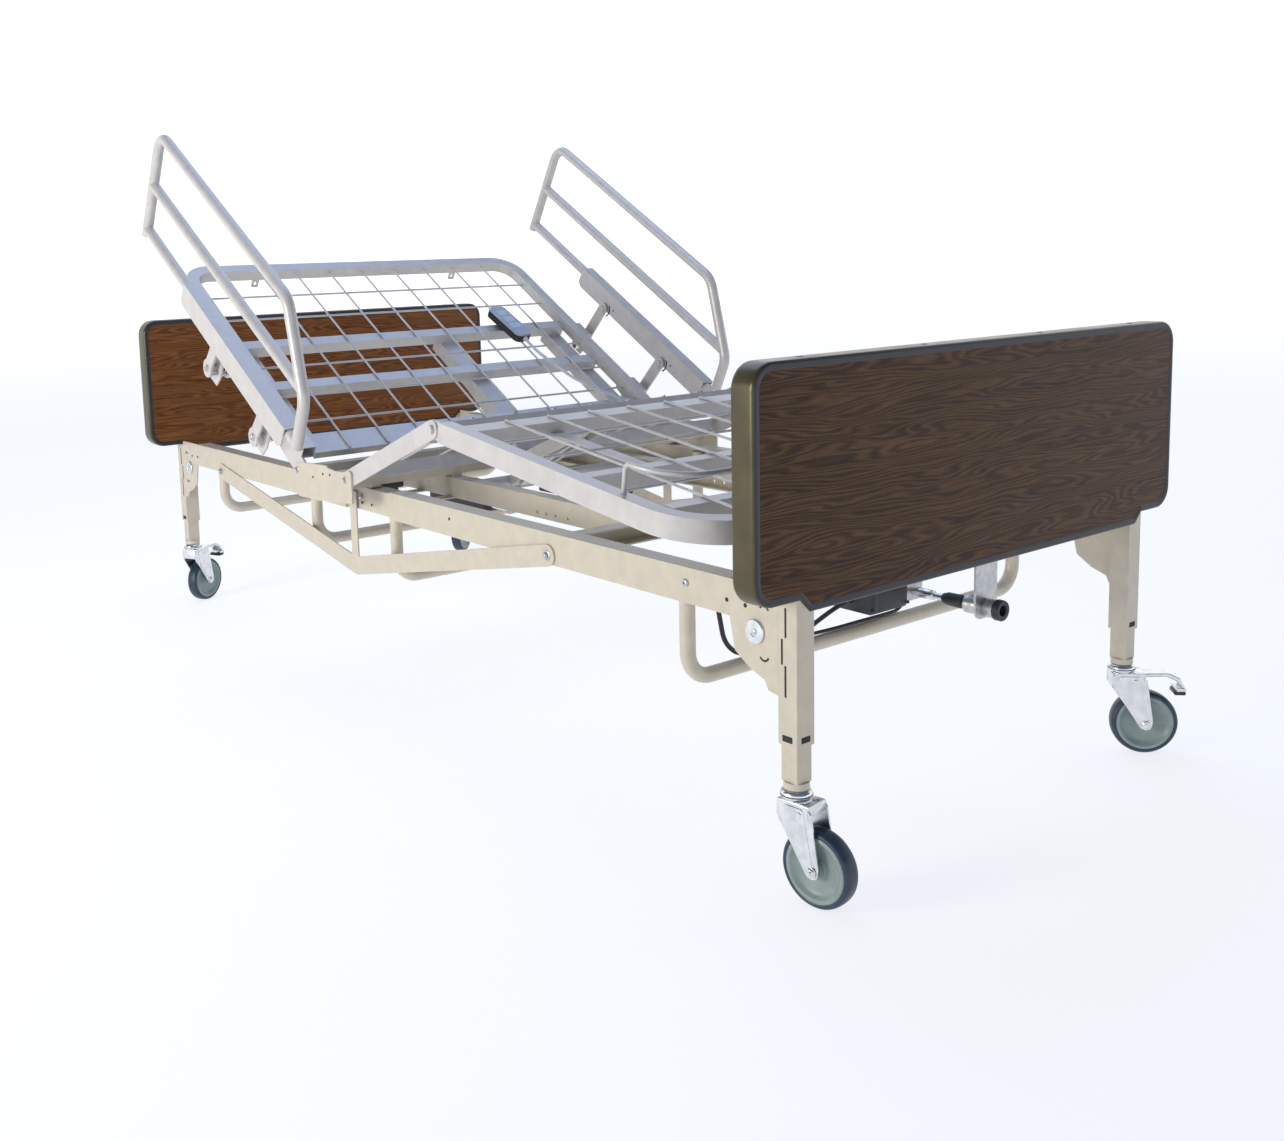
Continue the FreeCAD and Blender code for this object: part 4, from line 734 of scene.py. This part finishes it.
def add_frame_bolts():
    part = None
    discs = None
    dots = None
    for side in (-1, 1):
        out = (side, 0, 0)
        for y, z in ((266.0, 478.5), (46.0, 482.0)):
            part = washer_bolt((side * 514.6, y, z), out, 8.4, part)
            part = lathe([(0, 0), (8.0, 0), (8.0, 4.4), (7.2, 5.0), (0, 5.0)],
                         facing((side * 505.4, y, z), (-side, 0, 0)), 6, part)
            part = lathe([(0, -4), (5.0, -4), (5.0, 9.6), (0, 9.6)],
                         facing((side * 505.4, y, z), out), 20, part)
        for y, z in ((-556.0, 415.0), (836.0, 402.0)):
            part = washer_bolt((side * 450.6, y, z), out, 9.6, part)
        for y in (-906.0, 110.0):
            part = bolt_head((side * 447.2, y, 431.0), out, 6.2, 3.8, part)
        for end in (-1, 1):
            at = (side * 447.1, end * 1052.0, 386.0)
            discs = lathe([(0, 0), (17.4, 0), (18.0, 0.8), (18.0, 2.6), (17.2, 3.5), (12.5, 3.9),
                           (7.4, 3.9), (6.6, 3.2), (0, 3.2)], facing(at, out), 48, discs)
            dots = lathe([(0, 3.0), (4.6, 3.0), (4.4, 4.6), (2.0, 5.4), (0, 5.4)],
                         facing(at, out), 6, dots)
    finish_piece("frame_bolt_set", part, STEEL, "base", replaced=["frame_bolts"])
    finish_piece("corner_discs", discs, ZINC, "base")
    finish_piece("corner_disc_nuts", dots, STEEL, "base")


def arc_band(cy, cz, radius, width, start, stop, steps=10):
    """Outline of a curved slot with square ends."""
    inner = radius - width / 2
    outer = radius + width / 2
    angles = [math.radians(start + (stop - start) * i / steps) for i in range(steps + 1)]
    return ([(cy + outer * math.cos(a), cz + outer * math.sin(a)) for a in angles]
            + [(cy + inner * math.cos(a), cz + inner * math.sin(a)) for a in angles[::-1]])


def hole_shade_disc(at, direction, radius, bm):
    """Thin dark disc on a face: painted shade where a drilled hole is."""
    return lathe([(0, -0.6), (radius, -0.6), (radius, 0.3), (0, 0.3)], facing(at, direction), 20,
                 bm)


def corner_block(side, end, xs, ys, zs, bevel, bm):
    """Box at one corner of the bed, measured from the middle outwards."""
    x0, x1 = sorted(side * x for x in xs)
    y0, y1 = sorted(end * y for y in ys)
    return block(x0, x1, y0, y1, *zs, bevel, bm)


# Where the thin dark pieces of painted shade go: holes as (y, z, radius), gap lines as (y, low z,
# high z), and the leg slots' heights.
RAIL_HOLES = ((103.2, 419.0, 3.4), (62.4, 419.0, 2.6), (-240.0, 433.0, 3.2))
PLATE_HOLES = ((143.7, 483.7, 3.0), (112.1, 485.3, 3.0), (189.8, 472.0, 3.0))
PLATE_FACE = 514.5
GAP_LINES = ((1110.5, 389.0, 432.0), (1103.5, 349.0, 386.0), (1110.0, 302.0, 348.0))
LEG_SLOT_Z = (237.0, 246.0)


def add_opening_shade():
    """Painted shade: thin dark pieces in the hook notches, holes and gap lines where the side rails
    meet the legs, and in the leg slots.
    """
    part = None
    for side in (-1, 1):
        out = (side, 0, 0)
        low, high = sorted((side * (RAIL_FACE - 0.6), side * (RAIL_FACE + 0.35)))
        for end in (-1, 1):
            for y, z in ((994.0, 421.7), (1032.0, 420.5)):
                part = hole_shade_disc((side * RAIL_FACE, end * y, z), out, 3.4, part)
            for cz, start, stop in ((418.0, 20, 150), (355.0, -150, -20)):
                if end < 0:
                    start, stop = 180 - stop, 180 - start
                part = prism(arc_band(end * 1069.0, cz, 9.0, 3.0, start, stop), low, high, "X",
                             0, part)
            for y, z0, z1 in GAP_LINES:
                part = corner_block(side, end, (446.5, 447.5), (y - 1.6, y + 1.6), (z0, z1), 0,
                                    part)
            part = corner_block(side, end, (446.5, 447.9), (1104.0, 1122.5), LEG_SLOT_Z, 0.4, part)
            part = corner_block(side, end, (420.0, 438.0), (1131.0, 1132.0), LEG_SLOT_Z, 0.4, part)
        for y, z, radius in RAIL_HOLES:
            part = hole_shade_disc((side * RAIL_FACE, y, z), out, radius, part)
        for y, z, radius in PLATE_HOLES:
            part = hole_shade_disc((side * PLATE_FACE, y, z), out, radius, part)
    finish_piece("rail_hole_shade", part, SHADOW, "base")


add_frame_bolts()
add_opening_shade()


# ---- height drive ----
SHAFT_X = 105
SHAFT_Z = 318


def on_shaft(y):
    """Matrix on the drive shaft's line, with +Z toward the foot end."""
    return facing((SHAFT_X, y, SHAFT_Z), (0, -1, 0))


def add_height_drive():
    part = block(-70, 30, -950, -862, 313, 390, 8.0)
    part = block(-64, -54, -952, -860, 318, 386, 3.0, part)
    for x in (-66.0, 26.0):
        for z in (322.0, 382.0):
            part = bolt_head((x, -950.4, z), (0, -1, 0), 3.2, 2.0, part)
    part = lathe([(0, 0), (7.0, 0), (7.0, 9.0), (5.4, 11.0), (4.8, 17.0), (0, 17.0)],
                 facing((-68, -905, 336), (-1, 0, 0)), 24, part)
    finish_piece("height_motor_case", part, BLACK, "base", replaced=["height_motor"])
    strap = block(-438, 438, -936, -904, 402, 406, 0.8)
    strap = block(-45, 10, -936, -904, 388, 403, 1.6, strap)
    finish_piece("motor_strap", strap, PAINT, "base")
    bearing = block(26, 124, -906, -894, 303, 334, 1.6)
    for x in (38.0, 62.0):
        bearing = bolt_head((x, -906, SHAFT_Z), (0, -1, 0), 4.2, 2.6, bearing)
    finish_piece("shaft_block", bearing, STEEL, "base")
    plate = prism(rounded([(75, 436), (75, 300), (135, 300), (135, 436)], [1, 16, 16, 1], 8),
                  -1052, -1048, "Y", 0.6, holes=[(88, 412, 3.5), (122, 412, 3.5)])
    plate = block(132, 135, -1048, -1022, 302, 434, 0.8, plate)
    plate = lathe([(6.4, 0), (15.4, 0), (16.0, 0.8), (16.0, 12), (14.6, 14), (14.6, 40), (16, 42),
                   (16, 58), (6.4, 58), (6.4, 0)], on_shaft(-1014), 40, plate)
    finish_piece("gear_plate", plate, STEEL, "base", replaced=["height_gearbox"])
    reach = RAIL_FACE - 3.4
    beam = block(-reach, reach, -1062, -1032, 436, 440, 0.8)
    beam = block(-reach, reach, -1036, -1032, 439, 452, 0.8, beam)
    finish_piece("gear_beam", beam, PAINT, "base")
    cap = lathe([(0, 3.0), (8.5, 3.0), (9.5, 12.0), (14.0, 13.6), (17.0, 13.0), (18.0, 11.0),
                 (18.0, 1.4), (16.8, 0), (0, 0)], on_shaft(-1072.4), 48)
    finish_piece("crank_cap", cap, BLACK, "base")
    shaft = lathe([(0, 0), (6.0, 0), (6.0, 22), (8.4, 22.6), (9.0, 24), (9.0, 56), (8.4, 57.4),
                   (6.0, 58), (6.0, 172), (0, 172)], on_shaft(-888), 32)
    shaft = lathe([(0, -3), (1.8, -3), (1.8, 20.4), (0, 20.4)],
                  facing((105, -928, 316.4), (1, 0, 0)), 16, shaft)
    finish_piece("drive_shaft_bar", shaft, ZINC, "drive_shaft", replaced=["drive_shaft"])
    cone = lathe([(5.8, 0), (8.4, 0), (11.6, 10), (12.0, 38), (10.5, 41.6), (5.8, 42), (5.8, 0)],
                 on_shaft(-966), 32)
    finish_piece("shaft_boot", cone, BLACK, "drive_shaft")


add_height_drive()


# ---- hand control ----
HANDSET_Y = (338.0, 482.0)
HANDSET_BASE = 49.6
HANDSET_PLACE = (ON_HEAD @ Matrix.Translation((0.286, 0.410, 0))
                 @ Matrix.Rotation(math.radians(6), 4, "Z") @ Matrix.Translation((0, -0.410, 0)))
KEYS = {"head": 448.0, "knee": 417.0, "height": 386.0}


def rounded_rectangle(x0, x1, y0, y1, radius):
    return rounded([(x0, y0), (x1, y0), (x1, y1), (x0, y1)], [radius] * 4, 8)


def add_handset():
    y0, y1 = HANDSET_Y
    base = HANDSET_BASE
    shell = prism(rounded_rectangle(-27, 27, y0, y1, 17), base, base + 18.6, "Z", 2.4)
    shell = block(-13, 13, y1 - 42, y1 - 30, base - 7.6, base + 1, 1.6, shell)
    finish_piece("handset_shell", shell, HANDSET_DARK, "head_section", HANDSET_PLACE,
                 replaced=["handset"])
    wells = [rounded_rectangle(-17.3, 17.3, y - 12.3, y + 12.3, 4) for y in KEYS.values()]
    face = prism(rounded_rectangle(-24.6, 24.6, y0 + 2.4, y1 - 2.4, 15), base + 18.4, base + 24.6,
                 "Z", 1.0, cuts=wells)
    finish_piece("handset_face", face, HANDSET_FACE, "head_section", HANDSET_PLACE)
    boot = lathe([(4.2, 0), (7.0, 0), (7.0, 2.6), (5.6, 3.2), (6.4, 4.6), (5.2, 5.4), (5.8, 6.8),
                  (4.8, 7.6), (5.2, 9.0), (4.2, 12.0), (4.2, 0)],
                 facing((0, y0 + 0.4, base + 12), (0, -1, 0)), 24)
    finish_piece("handset_boot", boot, CORD_GREY, "head_section", HANDSET_PLACE)
    for key, y in KEYS.items():
        cap = prism(rounded_rectangle(-16.9, 16.9, y - 11.9, y + 11.9, 3.8), base + 19.6,
                    base + 25.6, "Z", 1.2)
        cap = lathe([(0, 0), (3.0, 0), (2.2, 0.5), (0, 0.6)],
                    facing((0, y + 5, base + 25.5), (0, 0, 1)), 20, cap)
        finish_piece("key_cap_" + key, cap, KEY_BLUE, "key_" + key, HANDSET_PLACE,
                     replaced=["handset_key_" + key])


add_handset()


# ---- bed rail latches ----
# Each pin's (y, z) in the head section's frame.
LATCHES = {"head": (380.0, -6.0), "foot": (136.0, -14.0)}


def add_latch(end, side_name, side):
    y, z = LATCHES[end]
    out = (side, 0, 0)
    body = "latch_%s_%s" % (end, side_name)
    part = lathe([(0, 0), (4.9, 0), (4.9, 33.8), (3.9, 35.6), (0, 35.6)],
                 facing((side * 523, y, z), out), 24)
    part = spring((side * 524.8, y, z), out, 6.2, 0.8, 2.2, 3.6, part)
    part = lathe([(0, 0), (7.6, 0), (9.2, 1.2), (9.5, 3.4), (8.6, 4.6), (9.5, 5.8), (9.2, 9.4),
                  (7.8, 10.8), (0, 10.8)], facing((side * 514, y, z), out), 28, part)
    finish_piece("latch_pin_%s_%s" % (end, side_name), part, ZINC, body, ON_HEAD,
                 replaced=["rail_latch_%s_%s" % (end, side_name)])


for end_name in LATCHES:
    add_latch(end_name, "left", -1)
    add_latch(end_name, "right", 1)


# ---- swing arm bolts of the bed rails: (y, z) in the head section's frame ----
ARM_LOW = ((398.0, 2.6), (126.0, 2.6))
ARM_HIGH = ((372.0, 119.0), (100.0, 119.0))


def add_arm_bolts(side_name, side):
    for index, end in enumerate(("head", "foot")):
        low_bolt = washer_bolt((side * 565.6, *ARM_LOW[index]), (side, 0, 0), 9.0)
        finish_piece("arm_bolt_%s_%s" % (end, side_name), low_bolt, STEEL,
                     "arm_%s_%s" % (end, side_name), ON_HEAD)
        high_bolt = bolt_head((side * 559.8, *ARM_HIGH[index]), (-side, 0, 0), 8.0, 3.4)
        finish_piece("rail_bolt_%s_%s" % (end, side_name), high_bolt, STEEL,
                     "arm_%s_%s" % (end, side_name), ON_HEAD)


def add_rail_slot_shade(side_name, side):
    """Painted shade of the curved slots beside the swing arms, in the inner face of the rail's
    channel, and a dark disc for a small hole by each.
    """
    part = None
    low, high = sorted((side * 569.3, side * 570.0))
    for y, z in ARM_HIGH:
        part = prism(arc_band(y, z, 21.0, 4.0, 128, 232), low, high, "X", 0, part)
        part = lathe([(0, 0), (2.6, 0), (2.6, 0.6), (0, 0.6)],
                     facing((side * 569.9, y - 34, z + 14), (-side, 0, 0)), 16, part)
    finish_piece("rail_slot_shade_" + side_name, part, SHADOW, "rail_" + side_name, ON_HEAD)


def add_junction_box():
    part = block(-404, -340, 130, 300, 408.2, 443, 4.0)
    part = block(-406, -345, 99, 193, 440, 458.3, 3.0, part)
    part = block(-404, -352, 116, 131, 426, 442, 1.2, part)
    finish_piece("junction_case", part, BLACK, "base", replaced=["junction_box"])


add_rail_slot_shade("left", -1)
add_rail_slot_shade("right", 1)
add_junction_box()
add_arm_bolts("left", -1)
add_arm_bolts("right", 1)
